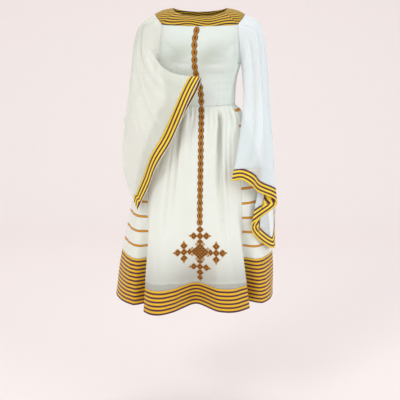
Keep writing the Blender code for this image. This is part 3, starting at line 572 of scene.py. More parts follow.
# %% Points of the body
def ring_point(rings, level, angle):
    """Points of the rings, and the way out from each. The angle counts from the front."""
    level, angle = np.broadcast_arrays(np.asarray(level, float), np.asarray(angle, float))
    half = along(rings, "half_width", level)
    depth = np.where(np.cos(angle) > 0, along(rings, "front", level), along(rings, "back", level))
    square = along(rings, "square", level)
    across = np.sin(angle)
    ahead = -np.cos(angle)
    radius = (np.abs(across / half) ** square + np.abs(ahead / depth) ** square) ** (-1 / square)
    x = radius * across
    y = radius * ahead
    out = np.stack([np.copysign(np.abs(x / half) ** (square - 1) / half, x),
                    np.copysign(np.abs(y / depth) ** (square - 1) / depth, y), np.zeros_like(x)], axis=-1)
    out /= np.linalg.norm(out, axis=-1, keepdims=True)
    return np.stack([x + along(rings, "centre", level), y, level], axis=-1), out


def angle_at(rings, level, x, behind=False):
    """The angles at which the rings pass x."""
    level = np.asarray(level, float)
    x = np.asarray(x, float)
    low = np.zeros_like(level)
    high = np.full_like(level, math.pi / 2)
    side = np.copysign(1.0, x)
    centre = along(rings, "centre", level)
    for _ in range(40):
        middle = (low + high) / 2
        angle = (math.pi - middle if behind else middle) * side
        inside = np.abs(ring_point(rings, level, angle)[0][..., 0] - centre) < np.abs(x - centre)
        low = np.where(inside, middle, low)
        high = np.where(inside, high, middle)
    return (math.pi - low if behind else low) * side


def bodice_point(level, angle):
    """The bodice: its ring, fuller at the bust and drawn in along two darts."""
    point, out = ring_point(BODICE_RINGS, level, angle)
    x = point[..., 0]
    level = point[..., 2]
    bust = 9 * np.exp(-((np.abs(x) - 66) / 42) ** 2 - ((level + 178) / 42) ** 2)
    centre = -5 * np.exp(-(x / 32) ** 2 - ((level + 185) / 40) ** 2)
    dart_x = 62 + 24 * ease((level + 347) / 180)
    dart = -2.6 * ease(1 - np.abs(np.abs(x) - dart_x) / 7.0) * ease((-175 - level) / 40)
    fade = ease((math.pi / 2 - np.abs(angle)) / 0.4)
    return point + out * ((bust + centre + dart) * fade)[..., None]


def armhole_angle(level, behind=False):
    """The angle of the bodice's armhole edge at a level, or of its side seam under the armhole."""
    level = np.asarray(level, float)
    edge = angle_at(BODICE_RINGS, level, along(ARMHOLE_EDGE, "reach", level), behind)
    return np.where(level <= UNDERARM, math.pi / 2, edge)


# %% [markdown]
# ## Folds
#
# The skirt is gathered into the waist, so small folds start there and die out, and a few broad ones
# grow towards the hem. Each fold is one row of a table: where it is round the skirt, how far it
# reaches to each side, how deep it is, and the levels at which it is nothing and full.
#
# Finer creases are drawn on each panel afterwards. A crease is a line from one point of the panel to
# another, given as shares of its width and length, with a width and a depth in millimetres. A soft
# bell curve across the line gives a trough or a ridge that fades at both ends. A cloth simulation
# could make folds too, but folds given one by one stay where the picture shows them.

# %% Tables of the skirt's folds
Fold = namedtuple("Fold", "place reach depth none full")
SKIRT_FOLDS = (
    Fold(0.56, 0.11, -27, -775, -400),
    Fold(0.42, 0.10, 7, -640, -400),
    Fold(0.74, 0.06, -10, -470, -380),
    Fold(0.87, 0.05, -9, -450, -380),
    Fold(-0.50, 0.10, -16, -700, -400),
    Fold(-0.34, 0.10, 6, -600, -400),
    Fold(-0.68, 0.06, -9, -480, -380),
    Fold(-0.84, 0.05, -8, -450, -380),
    Fold(-0.03, 0.46, -74, -790, -1111),
    Fold(-0.72, 0.42, 62, -640, -1090),
    Fold(0.62, 0.44, 34, -700, -1090),
    Fold(-1.00, 0.11, -58, -620, -1060),
    Fold(1.00, 0.12, -62, -640, -1060),
    Fold(1.62, 0.30, 12, -560, -1050),
    Fold(4.40, 0.30, 14, -560, -1050),
    Fold(2.00, 0.22, -26, -620, -1080),
    Fold(4.00, 0.22, -26, -620, -1080),
    Fold(2.40, 0.36, 26, -560, -1080),
    Fold(3.60, 0.36, 26, -560, -1080),
    Fold(2.74, 0.26, -24, -600, -1080),
    Fold(3.26, 0.26, -24, -600, -1080),
    Fold(3.00, 0.34, 22, -520, -1080),
    Fold(2.55, 0.08, -14, -700, -400),
    Fold(3.45, 0.08, -14, -700, -400),
    Fold(2.85, 0.06, -9, -560, -390),
    Fold(3.15, 0.06, -9, -560, -390),
)
SEAM_PLACES = (-1.0, 1.0, 2.0, 4.0, 5.0)
PLACES_ROUND = 6.0
GATHERS = 42
GATHER_DEPTH = 1.9
GATHER_END = -455.0
FINE_GATHERS = 118
FINE_GATHER_DEPTH = 0.7


# %% Surface of the skirt
def fold_depth(level, place):
    """How far the skirt's folds move its surface out."""
    total = np.zeros(np.broadcast(level, place).shape)
    for fold in SKIRT_FOLDS:
        away = np.abs((place - fold.place + PLACES_ROUND / 2) % PLACES_ROUND - PLACES_ROUND / 2)
        strength = ease((level - fold.none) / (fold.full - fold.none))
        if fold.full > fold.none:
            strength = strength * ease((WAIST - level) / (WAIST - fold.full))
        across = np.where(away < fold.reach, 0.5 * (1 + np.cos(math.pi * away / fold.reach)), 0.0)
        total += fold.depth * strength * across
    swell = ease((WAIST - level) / 22) * ease((level - GATHER_END) / (WAIST - 22 - GATHER_END))
    wave = np.sin(2 * math.pi * GATHERS * place / PLACES_ROUND + 1.3 * np.sin(5 * place))
    fine_swell = ease((WAIST - level) / 8) * ease((level + 425) / 60)
    fine_wave = np.sin(2 * math.pi * FINE_GATHERS * place / PLACES_ROUND + 2.1 * np.sin(7 * place))
    return total + GATHER_DEPTH * swell * wave + FINE_GATHER_DEPTH * fine_swell * fine_wave


def skirt_grid(levels, places):
    """Points of the skirt at every level and place."""
    levels = np.asarray(levels, float)
    places = np.asarray(places, float)
    seams = {column: angle_at(SKIRT_RINGS, levels, along(SKIRT_SEAMS, column, levels), "back" in column)
             for column in Seams._fields[1:]}
    angles = np.stack([seams["front_left"], seams["front_right"], seams["back_right"],
                       seams["back_left"] + 2 * math.pi, seams["front_left"] + 2 * math.pi], axis=1)
    turned = np.array([np.interp(places, SEAM_PLACES, row) for row in angles])
    turned = (turned + math.pi) % (2 * math.pi) - math.pi
    point, out = ring_point(SKIRT_RINGS, levels[:, None] + 0 * turned, turned)
    return point + out * fold_depth(levels[:, None], places[None, :])[..., None]


# %% Creases on any panel
Crease = namedtuple("Crease", "x0 y0 x1 y1 width depth bow")


def crease_depth(across, down, wide, long, creases, closed=False):
    """How far the creases move a panel's surface out, at shares across and down it."""
    total = np.zeros(np.broadcast(across, down).shape)
    for crease in creases:
        dx = across - crease.x0
        if closed:
            dx = (dx + 0.5) % 1.0 - 0.5
        px = dx * wide
        py = (down - crease.y0) * long
        ax = (crease.x1 - crease.x0) * wide
        ay = (crease.y1 - crease.y0) * long
        length = math.hypot(ax, ay)
        t = (px * ax + py * ay) / length**2
        aside = (px * ay - py * ax) / length - crease.bow * np.sin(math.pi * np.clip(t, 0, 1))
        fade = ease(t / 0.25) * ease((1 - t) / 0.25)
        total += crease.depth * fade * np.exp(-(aside / crease.width) ** 2)
    return total


def soft_unevenness(grid, size):
    """Broad, slight hills and hollows that no two panels share, longer down the cloth than across."""
    x, y, z = grid[..., 0], grid[..., 1], grid[..., 2]
    waves = (np.sin(x / 31 + 1.7 + 0.8 * np.sin(z / 120)) * np.sin(z / 67 + 0.4)
             + 0.7 * np.sin(x / 19 - z / 160 + 2.2) + 0.6 * np.sin(y / 23 + z / 140 + 0.9)
             + 0.4 * np.sin((x + y) / 12 + z / 90))
    return size * waves


# %% [markdown]
# ## A shell of cloth from a grid of points
#
# Every panel is a grid: rows down the cloth, columns across it. The grid is moved out square to the
# cloth twice, by a little and by a little more, and the two sheets are joined round their edges. That
# gives a closed wall half a millimetre thick, whose outer face lies on the solid's. A Solidify
# modifier could thicken it too, but here the edges at the waist and hem must stay level.

# %% Shell maker
CLOTH_THICK = 0.5
OUTSIDES = {}
TUBES = set()
MEASURED = {}


def moved_out(grid, distance, closed=False):
    """The grid's points moved out, each square to the cloth round it."""
    wide = np.concatenate([grid, grid[:, :1]], axis=1) if closed else grid
    down = wide[1:, :-1] - wide[:-1, :-1] + wide[1:, 1:] - wide[:-1, 1:]
    across = wide[:-1, 1:] - wide[:-1, :-1] + wide[1:, 1:] - wide[1:, :-1]
    faces = np.cross(down, across)
    faces /= np.maximum(np.linalg.norm(faces, axis=2, keepdims=True), 1e-9)
    total = np.zeros_like(grid)
    rows = faces.shape[0]
    for row_step in (0, 1):
        for column_step in (0, 1):
            if closed:
                total[row_step:row_step + rows] += np.roll(faces, column_step, axis=1)
            else:
                total[row_step:row_step + rows, column_step:column_step + faces.shape[1]] += faces
    out = total / np.linalg.norm(total, axis=2, keepdims=True)
    return grid + out * np.asarray(distance)[..., None]


def arc_lengths(grid, axis):
    """How far each point is along its row or column, in metres."""
    steps = np.linalg.norm(np.diff(grid, axis=axis), axis=2)
    start = np.zeros_like(steps[:1]) if axis == 0 else np.zeros_like(steps[:, :1])
    return np.cumsum(np.concatenate([start, steps], axis=axis), axis=axis) * MM


def measured(grid, closed):
    """The widest row, the longest column and the area of a grid, in metres."""
    wide = np.concatenate([grid, grid[:, :1]], axis=1) if closed else grid
    across = wide[1:, 1:] - wide[:-1, :-1]
    other = wide[1:, :-1] - wide[:-1, 1:]
    area = np.linalg.norm(np.cross(across, other), axis=2).sum() / 2 * MM**2
    return arc_lengths(wide, 1)[:, -1].max(), arc_lengths(wide, 0)[-1].max(), area


def add_piece(name, points, faces, materials, uvs=None):
    """A mesh object at the origin, from points in metres."""
    mesh = bpy.data.meshes.new(name)
    mesh.from_pydata([tuple(point) for point in points], [], [tuple(face) for face in faces])
    if uvs is not None:
        layer = mesh.uv_layers.new(name=UV_NAME)
        corners = np.array([uvs[loop.vertex_index] for loop in mesh.loops], np.float32)
        layer.data.foreach_set("uv", corners.ravel())
    mesh.shade_smooth()
    made = bpy.data.objects.new(name, mesh)
    scene.collection.objects.link(made)
    for material in materials:
        mesh.materials.append(material)
    return made


def cloth_shell(name, grid, wall, material, closed=False, level_rows=(), v=None):
    """A closed thin wall of cloth on a grid, its outer face where the solid's outer face is."""
    near = moved_out(grid, wall - CLOTH_THICK, closed)
    far = moved_out(grid, wall, closed)
    for row in level_rows:
        near[row, :, 2] = grid[row, :, 2]
        far[row, :, 2] = grid[row, :, 2]
    OUTSIDES[name] = far
    if closed:
        TUBES.add(name)
    u = arc_lengths(grid, 1)
    MEASURED[name] = measured(grid, closed)
    down = arc_lengths(grid, 0) if v is None else np.broadcast_to(v, grid.shape[:2])
    if closed:
        # The last column repeats the first, so that the UV map has a seam
        near = np.concatenate([near, near[:, :1]], axis=1)
        far = np.concatenate([far, far[:, :1]], axis=1)
        round_step = np.linalg.norm(grid[:, -1] - grid[:, 0], axis=1)[:, None] * MM
        u = np.concatenate([u, u[:, -1:] + round_step], axis=1)
        down = np.concatenate([down, down[:, :1]], axis=1)
    rows, columns = near.shape[:2]
    count = rows * columns
    index = np.arange(count).reshape(rows, columns)
    a, b, c, d = index[:-1, :-1], index[:-1, 1:], index[1:, 1:], index[1:, :-1]
    inner = np.stack([a, b, c, d], axis=-1).reshape(-1, 4)
    outer = np.stack([a, d, c, b], axis=-1).reshape(-1, 4) + count
    top = np.stack([index[0, 1:], index[0, :-1], index[0, :-1] + count, index[0, 1:] + count], axis=-1)
    low = np.stack([index[-1, :-1], index[-1, 1:], index[-1, 1:] + count, index[-1, :-1] + count], axis=-1)
    faces = [inner, outer, top, low]
    if not closed:
        start = index[:, 0]
        end = index[:, -1]
        faces.append(np.stack([start[:-1], start[1:], start[1:] + count, start[:-1] + count], axis=-1))
        faces.append(np.stack([end[1:], end[:-1], end[:-1] + count, end[1:] + count], axis=-1))
    points = np.concatenate([near.reshape(-1, 3), far.reshape(-1, 3)]) * MM
    uv = np.stack([u, down], axis=-1).reshape(-1, 2)
    faces = np.concatenate(faces)
    made = add_piece(name, points, faces.tolist(), [material], np.concatenate([uv, uv]))
    if closed:
        weld_seam(made, rows, columns)
    return made


def weld_seam(made, rows, columns):
    """Joins the repeated last column of a tube to its first one. The UV map keeps its seam."""
    body = bmesh.new()
    body.from_mesh(made.data)
    body.verts.ensure_lookup_table()
    count = rows * columns
    pairs = {}
    for layer in (0, count):
        for row in range(rows):
            pairs[body.verts[layer + row * columns + columns - 1]] = body.verts[layer + row * columns]
    bmesh.ops.weld_verts(body, targetmap=pairs)
    body.to_mesh(made.data)
    body.free()


PIECES = {}


def keep(made, slot, *nodes):
    """Notes a finished piece, with its material slot and the solids that it stands for."""
    PIECES[made.name] = (made, slot, nodes)
    return made


# %% [markdown]
# ## The skirt
#
# Four panels hang from the waist: front, back and two sides. All of them are cut from one surface, so
# they meet exactly, and each one ends in its border. The real panels were gathered by pulling a
# thread; here the folds come from the tables, and the long creases below are listed one by one. The back
# is never seen in the picture, and the sides only in part, so they get creases of the same kind.

# %% Long creases of the skirt panels
SKIRT_CREASES = {
    "front": (
        Crease(0.78, 0.00, 0.80, 0.76, 9, -9.0, 2), Crease(0.81, 0.02, 0.85, 0.60, 8, 4.0, 2),
        Crease(0.84, 0.00, 0.87, 0.40, 5, -3.0, 2), Crease(0.90, 0.00, 0.92, 0.34, 5, -2.6, 0),
        Crease(0.22, 0.02, 0.16, 0.66, 9, -3.8, -3), Crease(0.30, 0.04, 0.27, 0.55, 8, 3.4, 2),
        Crease(0.12, 0.00, 0.08, 0.35, 6, -2.6, 0), Crease(0.40, 0.02, 0.40, 0.30, 7, -1.8, 0),
        Crease(0.60, 0.01, 0.62, 0.34, 7, -2.0, 0), Crease(0.66, 0.04, 0.69, 0.55, 9, 2.2, 0),
        Crease(0.10, 0.55, 0.16, 1.00, 14, -3.5, 4), Crease(0.88, 0.50, 0.90, 1.00, 12, -3.2, -4),
        Crease(0.34, 0.62, 0.28, 1.00, 16, 2.4, 0), Crease(0.68, 0.60, 0.72, 1.00, 15, 2.2, 0),
        Crease(0.95, 0.50, 0.94, 0.96, 7, 2.4, 0), Crease(0.05, 0.42, 0.05, 0.90, 7, 2.2, 0),
    ),
    "back": (
        Crease(0.20, 0.00, 0.16, 0.52, 7, -4.0, 2), Crease(0.30, 0.02, 0.29, 0.44, 6, 2.6, 0),
        Crease(0.44, 0.00, 0.42, 0.62, 8, -3.6, -2), Crease(0.56, 0.02, 0.58, 0.50, 8, -3.2, 2),
        Crease(0.70, 0.00, 0.73, 0.58, 7, -3.8, 2), Crease(0.82, 0.02, 0.86, 0.40, 6, -2.8, 0),
        Crease(0.36, 0.40, 0.34, 1.00, 14, 3.0, 0), Crease(0.64, 0.44, 0.66, 1.00, 14, 2.8, 0),
        Crease(0.50, 0.50, 0.50, 1.00, 12, -2.6, 3), Crease(0.12, 0.50, 0.10, 1.00, 12, -3.0, 0),
    ),
    "side_right": (
        Crease(0.30, 0.00, 0.26, 0.70, 8, -4.0, 3), Crease(0.60, 0.02, 0.64, 0.80, 9, -3.4, -3),
        Crease(0.80, 0.00, 0.84, 0.50, 6, -2.6, 0), Crease(0.45, 0.35, 0.45, 1.00, 12, 3.0, 0),
        Crease(0.14, 0.50, 0.20, 1.00, 9, 3.2, 0),
    ),
    "side_left": (
        Crease(0.28, 0.00, 0.34, 0.74, 8, -3.8, -3), Crease(0.66, 0.02, 0.62, 0.85, 9, -3.6, 3),
        Crease(0.14, 0.00, 0.12, 0.46, 6, -2.6, 0), Crease(0.50, 0.30, 0.50, 1.00, 12, 2.8, 0),
        Crease(0.86, 0.46, 0.80, 1.00, 8, 4.0, 2),
    ),
}

# %% Build the skirt panels and their borders
PANEL_PLACES = {"front": (-1.0, 1.0, 150), "side_right": (1.0, 2.0, 60), "back": (2.0, 4.0, 150),
                "side_left": (4.0, 5.0, 60)}
ROW_STEP = 6.5
SEAM = 0.15


def panel_rows(top, low, step):
    return np.linspace(top, low, max(2, round((top - low) / step)) + 1)


def skirt_surface(name, levels):
    """One panel of the skirt with its creases, from the waist to the hem."""
    first, last, columns = PANEL_PLACES[name]
    places = np.linspace(first, last, columns + 1)
    grid = skirt_grid(levels, places)
    share = (places - first) / (last - first)
    down = (WAIST - levels) / (WAIST - HEM)
    depth = crease_depth(share[None, :], down[:, None], 420 if columns > 100 else 200, WAIST - HEM,
                         SKIRT_CREASES[name])
    border = ease((share * (1 - share) * 4) / 0.25)[None, :]
    top = ease(down / 0.03)[:, None]
    depth = depth * border * top + soft_unevenness(grid, 0.6) * border * top * (down < 1)[:, None]
    return moved_out(grid, depth)


for name in PANEL_PLACES:
    split = HEM + (2 * BORDER if "side" in name else BORDER)
    above = panel_rows(WAIST - SEAM, split + SEAM, ROW_STEP)
    below = panel_rows(split - SEAM, HEM, ROW_STEP)
    whole = skirt_surface(name, np.concatenate([above, below]))
    panel = cloth_shell("panel_" + name, whole[:len(above)], SOLID_WALL,
                        lined_side_cotton if "side" in name else white_cotton, level_rows=(0,),
                        v=-above[:, None] * MM)
    keep(panel, "white cotton", "skirt_" + name)
    band = cloth_shell("border_" + name, whole[len(above):], SOLID_WALL + 0.25, hem_stripes,
                       level_rows=(-1,), v=(below[0] - below)[:, None] * MM)
    keep(band, "stripes", "hem_band_" + name)
print("skirt panels:", [piece for piece in PIECES])

# %% [markdown]
# ## The lining
#
# Under the thin skirt hangs a plain lining that ends above the border. It is one tube, and only its
# hem can be guessed at from outside, so it stays simple: a few soft waves and a level hem.

# %% Build the lining
LINING_TOP = -348.4
LINING_HEM = -1022.0
lining_levels = panel_rows(LINING_TOP, LINING_HEM, 14)
lining_turns = np.linspace(0, 2 * math.pi, 120, endpoint=False)
lining_angles = (lining_turns + math.pi) % (2 * math.pi) - math.pi
lining_grid, lining_out = ring_point(SKIRT_RINGS, lining_levels[:, None] + 0 * lining_angles, lining_angles)
lining_wave = 3.0 * np.sin(9 * lining_turns + 0.6) * ease((-400 - lining_levels) / 500)[:, None]
lining_inset = along(LINING_INSETS, "depth", lining_levels)[:, None]
lining_grid = lining_grid - lining_out * (lining_inset - lining_wave)[..., None]
lining = cloth_shell("lining", lining_grid, SHEER_WALL, lining_cotton, closed=True, level_rows=(0, -1))
keep(lining, "lining cotton", "skirt_lining")
print("lining hem at", LINING_HEM, "mm")

# %% [markdown]
# ## The bodice
#
# The front is one panel with two waist darts, and the back is two panels that meet at the centre. A
# dart is a wedge folded away inside, which leaves a sharp line outside, so it is part of the surface.
# Under the bust the cloth lies in shallow level creases, and short slanting ones run to the armholes.

# %% Creases of the bodice
BODICE_CREASES = {
    "front": (
        Crease(0.20, 0.44, 0.46, 0.48, 6, -1.8, 2), Crease(0.56, 0.47, 0.82, 0.42, 6, -1.6, -2),
        Crease(0.56, 0.60, 0.90, 0.57, 5, -1.3, 1), Crease(0.58, 0.70, 0.92, 0.69, 5, 1.2, 1),
        Crease(0.60, 0.80, 0.90, 0.82, 5, -1.3, -1), Crease(0.56, 0.90, 0.88, 0.90, 4, 1.0, 0),
        Crease(0.12, 0.62, 0.42, 0.64, 5, -1.2, 0), Crease(0.10, 0.78, 0.40, 0.80, 5, -1.2, 1),
        Crease(0.06, 0.20, 0.26, 0.36, 8, -2.0, 2), Crease(0.94, 0.18, 0.76, 0.36, 8, -2.2, -2),
        Crease(0.90, 0.30, 0.80, 0.62, 7, -2.4, 2), Crease(0.30, 0.06, 0.36, 0.30, 10, 1.2, 0),
        Crease(0.70, 0.06, 0.64, 0.30, 10, 1.2, 0), Crease(0.86, 0.36, 0.82, 1.00, 7, 2.6, 2),
        Crease(0.93, 0.30, 0.89, 0.92, 6, -3.2, 3), Crease(0.96, 0.12, 0.90, 0.44, 6, -2.6, -2),
        Crease(0.22, 0.42, 0.46, 0.30, 9, -1.6, -6), Crease(0.54, 0.30, 0.80, 0.40, 9, -1.6, -6),
    ),
    "back": (
        Crease(0.16, 0.46, 0.84, 0.50, 7, -1.8, 2), Crease(0.14, 0.66, 0.84, 0.63, 6, -1.5, -2),
        Crease(0.16, 0.82, 0.80, 0.86, 6, 1.4, 0), Crease(0.10, 0.12, 0.50, 0.34, 9, -2.0, 0),
    ),
}


# %% Build the bodice
BODICE_SIZE = 290
BODICE_CREASE_STRENGTH = 1.6
BODICE_UNEVENNESS = 0.5


def bodice_grid(levels_down, shares, behind):
    """Rows from the yoke's edge to the waist, columns from one side to the other."""
    top = YOKE_LEVEL - YOKE_DIP * (1 - shares**2)
    level = top[None, :] + (WAIST + SEAM - top[None, :]) * levels_down[:, None]
    angle = armhole_angle(level, behind)
    turn = math.pi - (angle - math.pi) * -shares if behind else angle * shares
    grid = bodice_point(level, turn)
    return grid[:, ::-1] if behind else grid


def bodice_surface(grid, creases):
    across = np.linspace(0, 1, grid.shape[1])[None, :]
    down = np.linspace(0, 1, grid.shape[0])[:, None]
    edges = ease(across * (1 - across) * 4 / 0.3) * ease(down * (1 - down) * 4 / 0.2)
    depth = BODICE_CREASE_STRENGTH * crease_depth(across, down, BODICE_SIZE, BODICE_SIZE, creases)
    depth = depth + soft_unevenness(grid, BODICE_UNEVENNESS)
    return moved_out(grid, depth * edges)


bodice_downs = np.linspace(0.0006, 1, 61)
front_grid = bodice_grid(bodice_downs, np.linspace(-1, 1, 121), False)
front_grid = bodice_surface(front_grid, BODICE_CREASES["front"])
front = cloth_shell("bodice_front_cloth", front_grid, SOLID_WALL, bodice_front_cotton, level_rows=(-1,))
keep(front, "white cotton", "bodice_front")
back_grid = bodice_grid(bodice_downs, np.linspace(-1, 1, 121), True)
for name, half in (("right", slice(0, 61)), ("left", slice(60, None))):
    half_grid = bodice_surface(back_grid[:, half], BODICE_CREASES["back"])
    piece = cloth_shell("bodice_back_cloth_" + name, half_grid, SOLID_WALL, bodice_back_cotton_painted_light, level_rows=(-1,))
    keep(piece, "white cotton", "bodice_back_" + name)
print("bodice rows:", len(bodice_downs))

# %% [markdown]
# ## The yoke
#
# Four strips of the striped border frame the neck: front, back and one over each shoulder, joined on
# slanting mitres. On all four the stripes run from side to side, and those in front wave, because the
# strip is pulled askew. V could follow each strip's length, but then the stripes would turn at the
# mitres, so over the shoulders it follows the way from front to back instead.

# %% Tables and curves of the yoke
Point = namedtuple("Point", "x y z")
NECKLINE = (Point(0, -62, -28), Point(48, -59, -26), Point(86, -40, -15), Point(99, 0, 0),
            Point(84, 36, -4), Point(46, 50, -10), Point(0, 53, -12))
SHOULDER = Point(164, 0, -20)
SHOULDER_FRONT = Point(156, -44, -33)
SHOULDER_BACK = Point(156, 42, -30)


def neckline_point(share):
    left = [(-point.x, point.y, point.z) for point in NECKLINE[-2:0:-1]]
    return through(list(NECKLINE) + left, share, closed=True)


def yoke_edge(share, behind=False):
    """The lower edge of the yoke, from its left corner at -1 to its right corner at 1."""
    share = np.atleast_1d(np.asarray(share, float))
    level = YOKE_LEVEL - YOKE_DIP * (1 - share**2)
    angle = armhole_angle(level, behind)
    return bodice_point(level, math.pi + (angle - math.pi) * share if behind else angle * share)


def shoulder_edge(share, side):
    """The outer edge of the yoke over a shoulder, from the front corner to the back one."""
    over = [(side * point.x, point.y, point.z) for point in (SHOULDER_FRONT, SHOULDER, SHOULDER_BACK)]
    return through([yoke_edge(side)[0]] + over + [yoke_edge(side, True)[0]], share)


def yoke_strip(top, low, downs):
    """A strip between the neckline and the yoke's outer edge, rounded up over the body."""
    outwards = (low - top) * np.array([1.0, 1.0, 0.0])
    outwards /= np.linalg.norm(outwards, axis=1, keepdims=True)
    rows = []
    for down in downs:
        rise = YOKE_CROWN * math.sin(math.pi * down)
        rows.append(top + (low - top) * down + outwards * rise * 0.5 + np.array([0.0, 0.0, rise]))
    return np.array(rows)


# %% Build the yoke
CORNER = 2 / 12
CORNER_BEHIND = 4 / 12
yoke_downs = np.linspace(0.0, 0.9975, 13)
across = np.linspace(0.0015, 0.9985, 61)
ends = np.linspace(0.003, 0.997, 41)
STRIPS = {
    "front": (neckline_point(CORNER * (2 * across - 1)), yoke_edge(2 * across - 1)),
    "back": (neckline_point(0.5 + (0.5 - CORNER_BEHIND) * (2 * across - 1)), yoke_edge(1 - 2 * across, True)),
    "shoulder_right": (neckline_point(CORNER + (CORNER_BEHIND - CORNER) * ends), shoulder_edge(ends, 1)),
    "shoulder_left": (neckline_point(-CORNER_BEHIND + (CORNER_BEHIND - CORNER) * ends),
                      shoulder_edge(1 - ends, -1)),
}
YOKE_WIDE = 47.0
WAVE_DEPTH = 6.0
WAVE_LONG = 150.0
SHOULDER_LEVEL = -60.0
SHOULDER_ROUND = 58.0
NECK_CORNER = 0.726


def level_stripes(grid):
    """V on the front and back strips: down the strip, with one strong wave where it is pulled askew."""
    x = grid[..., 0]
    wave = WAVE_DEPTH * np.sin(2 * math.pi * (x + 6) / WAVE_LONG) * np.exp(-(x / 110) ** 2)
    return yoke_downs[:, None] * YOKE_WIDE - wave


def shoulder_stripes(grid):
    """V on the shoulder strips: the way over the shoulder from front to back. The stripes run from side
    to side, and meet the front ones at the mitre."""
    turn = np.arctan2(grid[..., 1], grid[..., 2] - SHOULDER_LEVEL)
    return -SHOULDER_ROUND * (turn + NECK_CORNER)


for name, (top, low) in STRIPS.items():
    grid = yoke_strip(top, low, yoke_downs)
    v = shoulder_stripes(grid) if "shoulder" in name else level_stripes(grid)
    strip = cloth_shell("yoke_strip_" + name, grid, SOLID_WALL, yoke_stripes, v=v * MM)
    keep(strip, "stripes", "yoke_" + name)
print("yoke strips:", len(STRIPS))

# %% [markdown]
# ## The sleeves
#
# Each sleeve is a wide sheer tube, sewn into the armhole and open at its end. The left one is held up
# in front, so its opening slants down from there. The right one hangs, so its border falls in a
# zigzag. Both are built on lines that run from the armhole to the opening: a smooth closed curve
# through the lines at each share of the way gives the rings of the tube.

# %% Tables of the sleeves
Line = namedtuple("Line", "armhole cap elbow middle edge")
RIGHT_LINES = (
    Line(0.36, (161, -72, -160), (163, -72, -330), (139, -140, -490), (117, -190, -608)),
    Line(0.24, (190, -86, -110), (205, -98, -300), (196, -168, -470), (156, -194, -604)),
    Line(0.12, (212, -64, -85), (236, -80, -300), (240, -138, -500), (212, -162, -652)),
    Line(0.05, (224, -38, -78), (252, -52, -300), (270, -88, -530), (290, -98, -716)),
    Line(0.02, (228, -20, -76), (256, -36, -300), (238, -80, -540), (189, -150, -797)),
    Line(0.98, (231, 0, -78), (261, -12, -300), (280, -34, -560), (284, -72, -898)),
    Line(0.90, (220, 36, -90), (250, 28, -300), (276, 22, -550), (291, -10, -800)),
    Line(0.76, (186, 60, -130), (216, 54, -300), (254, 48, -520), (272, 26, -700)),
    Line(0.62, (162, 36, -205), (178, 26, -320), (230, 18, -470), (256, -14, -640)),
    Line(0.50, (158, 0, -228), (166, -22, -335), (196, -80, -470), (196, -122, -612)),
)
LEFT_LINES = (
    Line(0.20, (-193, -66, -72), (-178, -72, -152), (-112, -140, -222), (-2, -182, -246)),
    Line(0.13, (-212, -56, -78), (-216, -84, -205), (-160, -156, -330), (-84, -184, -423)),
    Line(0.08, (-223, -40, -82), (-243, -64, -250), (-208, -136, -425), (-142, -170, -535)),
    Line(0.04, (-229, -20, -84), (-259, -36, -290), (-256, -92, -500), (-192, -152, -633)),
    Line(0.98, (-232, 2, -84), (-267, 4, -300), (-297, -4, -575), (-232, -130, -738)),
    Line(0.88, (-222, 38, -95), (-254, 30, -300), (-274, 2, -500), (-196, -130, -638)),
    Line(0.74, (-190, 58, -130), (-224, 30, -300), (-226, -78, -430), (-146, -148, -540)),
    Line(0.56, (-163, 24, -208), (-180, -20, -265), (-168, -104, -330), (-90, -146, -434)),
    Line(0.36, (-160, -52, -178), (-164, -74, -208), (-112, -116, -272), (-8, -140, -284)),
)
SleeveFold = namedtuple("SleeveFold", "place reach depth none full")
RIGHT_FOLDS = (
    SleeveFold(0.70, 0.60, -9, 0.10, 0.45),
    SleeveFold(1.40, 0.55, 8, 0.15, 0.50),
    SleeveFold(2.10, 0.50, -9, 0.12, 0.50),
    SleeveFold(5.60, 0.50, -8, 0.15, 0.55),
    SleeveFold(6.40, 0.55, 8, 0.20, 0.60),
    SleeveFold(7.20, 0.55, -9, 0.20, 0.60),
)
LEFT_FOLDS = (
    SleeveFold(0.45, 0.55, 9, 0.30, 0.60),
    SleeveFold(1.30, 0.55, -9, 0.25, 0.60),
    SleeveFold(2.10, 0.55, 8, 0.20, 0.60),
    SleeveFold(3.00, 0.60, -10, 0.20, 0.65),
    SleeveFold(5.20, 0.60, -9, 0.20, 0.60),
    SleeveFold(6.20, 0.60, 7, 0.25, 0.60),
)
# Fine creases in shares round the sleeve and down it
RIGHT_CREASES = (
    Crease(0.06, 0.10, 0.08, 0.80, 6, -3.0, 4), Crease(0.13, 0.06, 0.15, 0.85, 6, 2.6, -3),
    Crease(0.20, 0.08, 0.20, 0.90, 7, -3.2, 3), Crease(0.27, 0.12, 0.29, 0.82, 6, 2.4, 0),
    Crease(0.37, 0.10, 0.36, 0.86, 7, -2.8, 3), Crease(0.52, 0.14, 0.50, 0.90, 8, -3.0, -3),
    Crease(0.62, 0.10, 0.62, 0.88, 7, 2.6, 3), Crease(0.74, 0.12, 0.76, 0.84, 8, -3.0, 0),
    Crease(0.86, 0.10, 0.84, 0.80, 7, -2.6, 3), Crease(0.03, 0.30, 0.24, 0.42, 8, -2.0, 3),
    Crease(0.95, 0.45, 0.12, 0.60, 8, -2.0, 0), Crease(0.16, 0.02, 0.17, 0.30, 5, -2.4, 0),
    Crease(0.24, 0.02, 0.24, 0.26, 5, -2.0, 0), Crease(0.40, 0.02, 0.40, 0.30, 5, -2.4, 0),
)
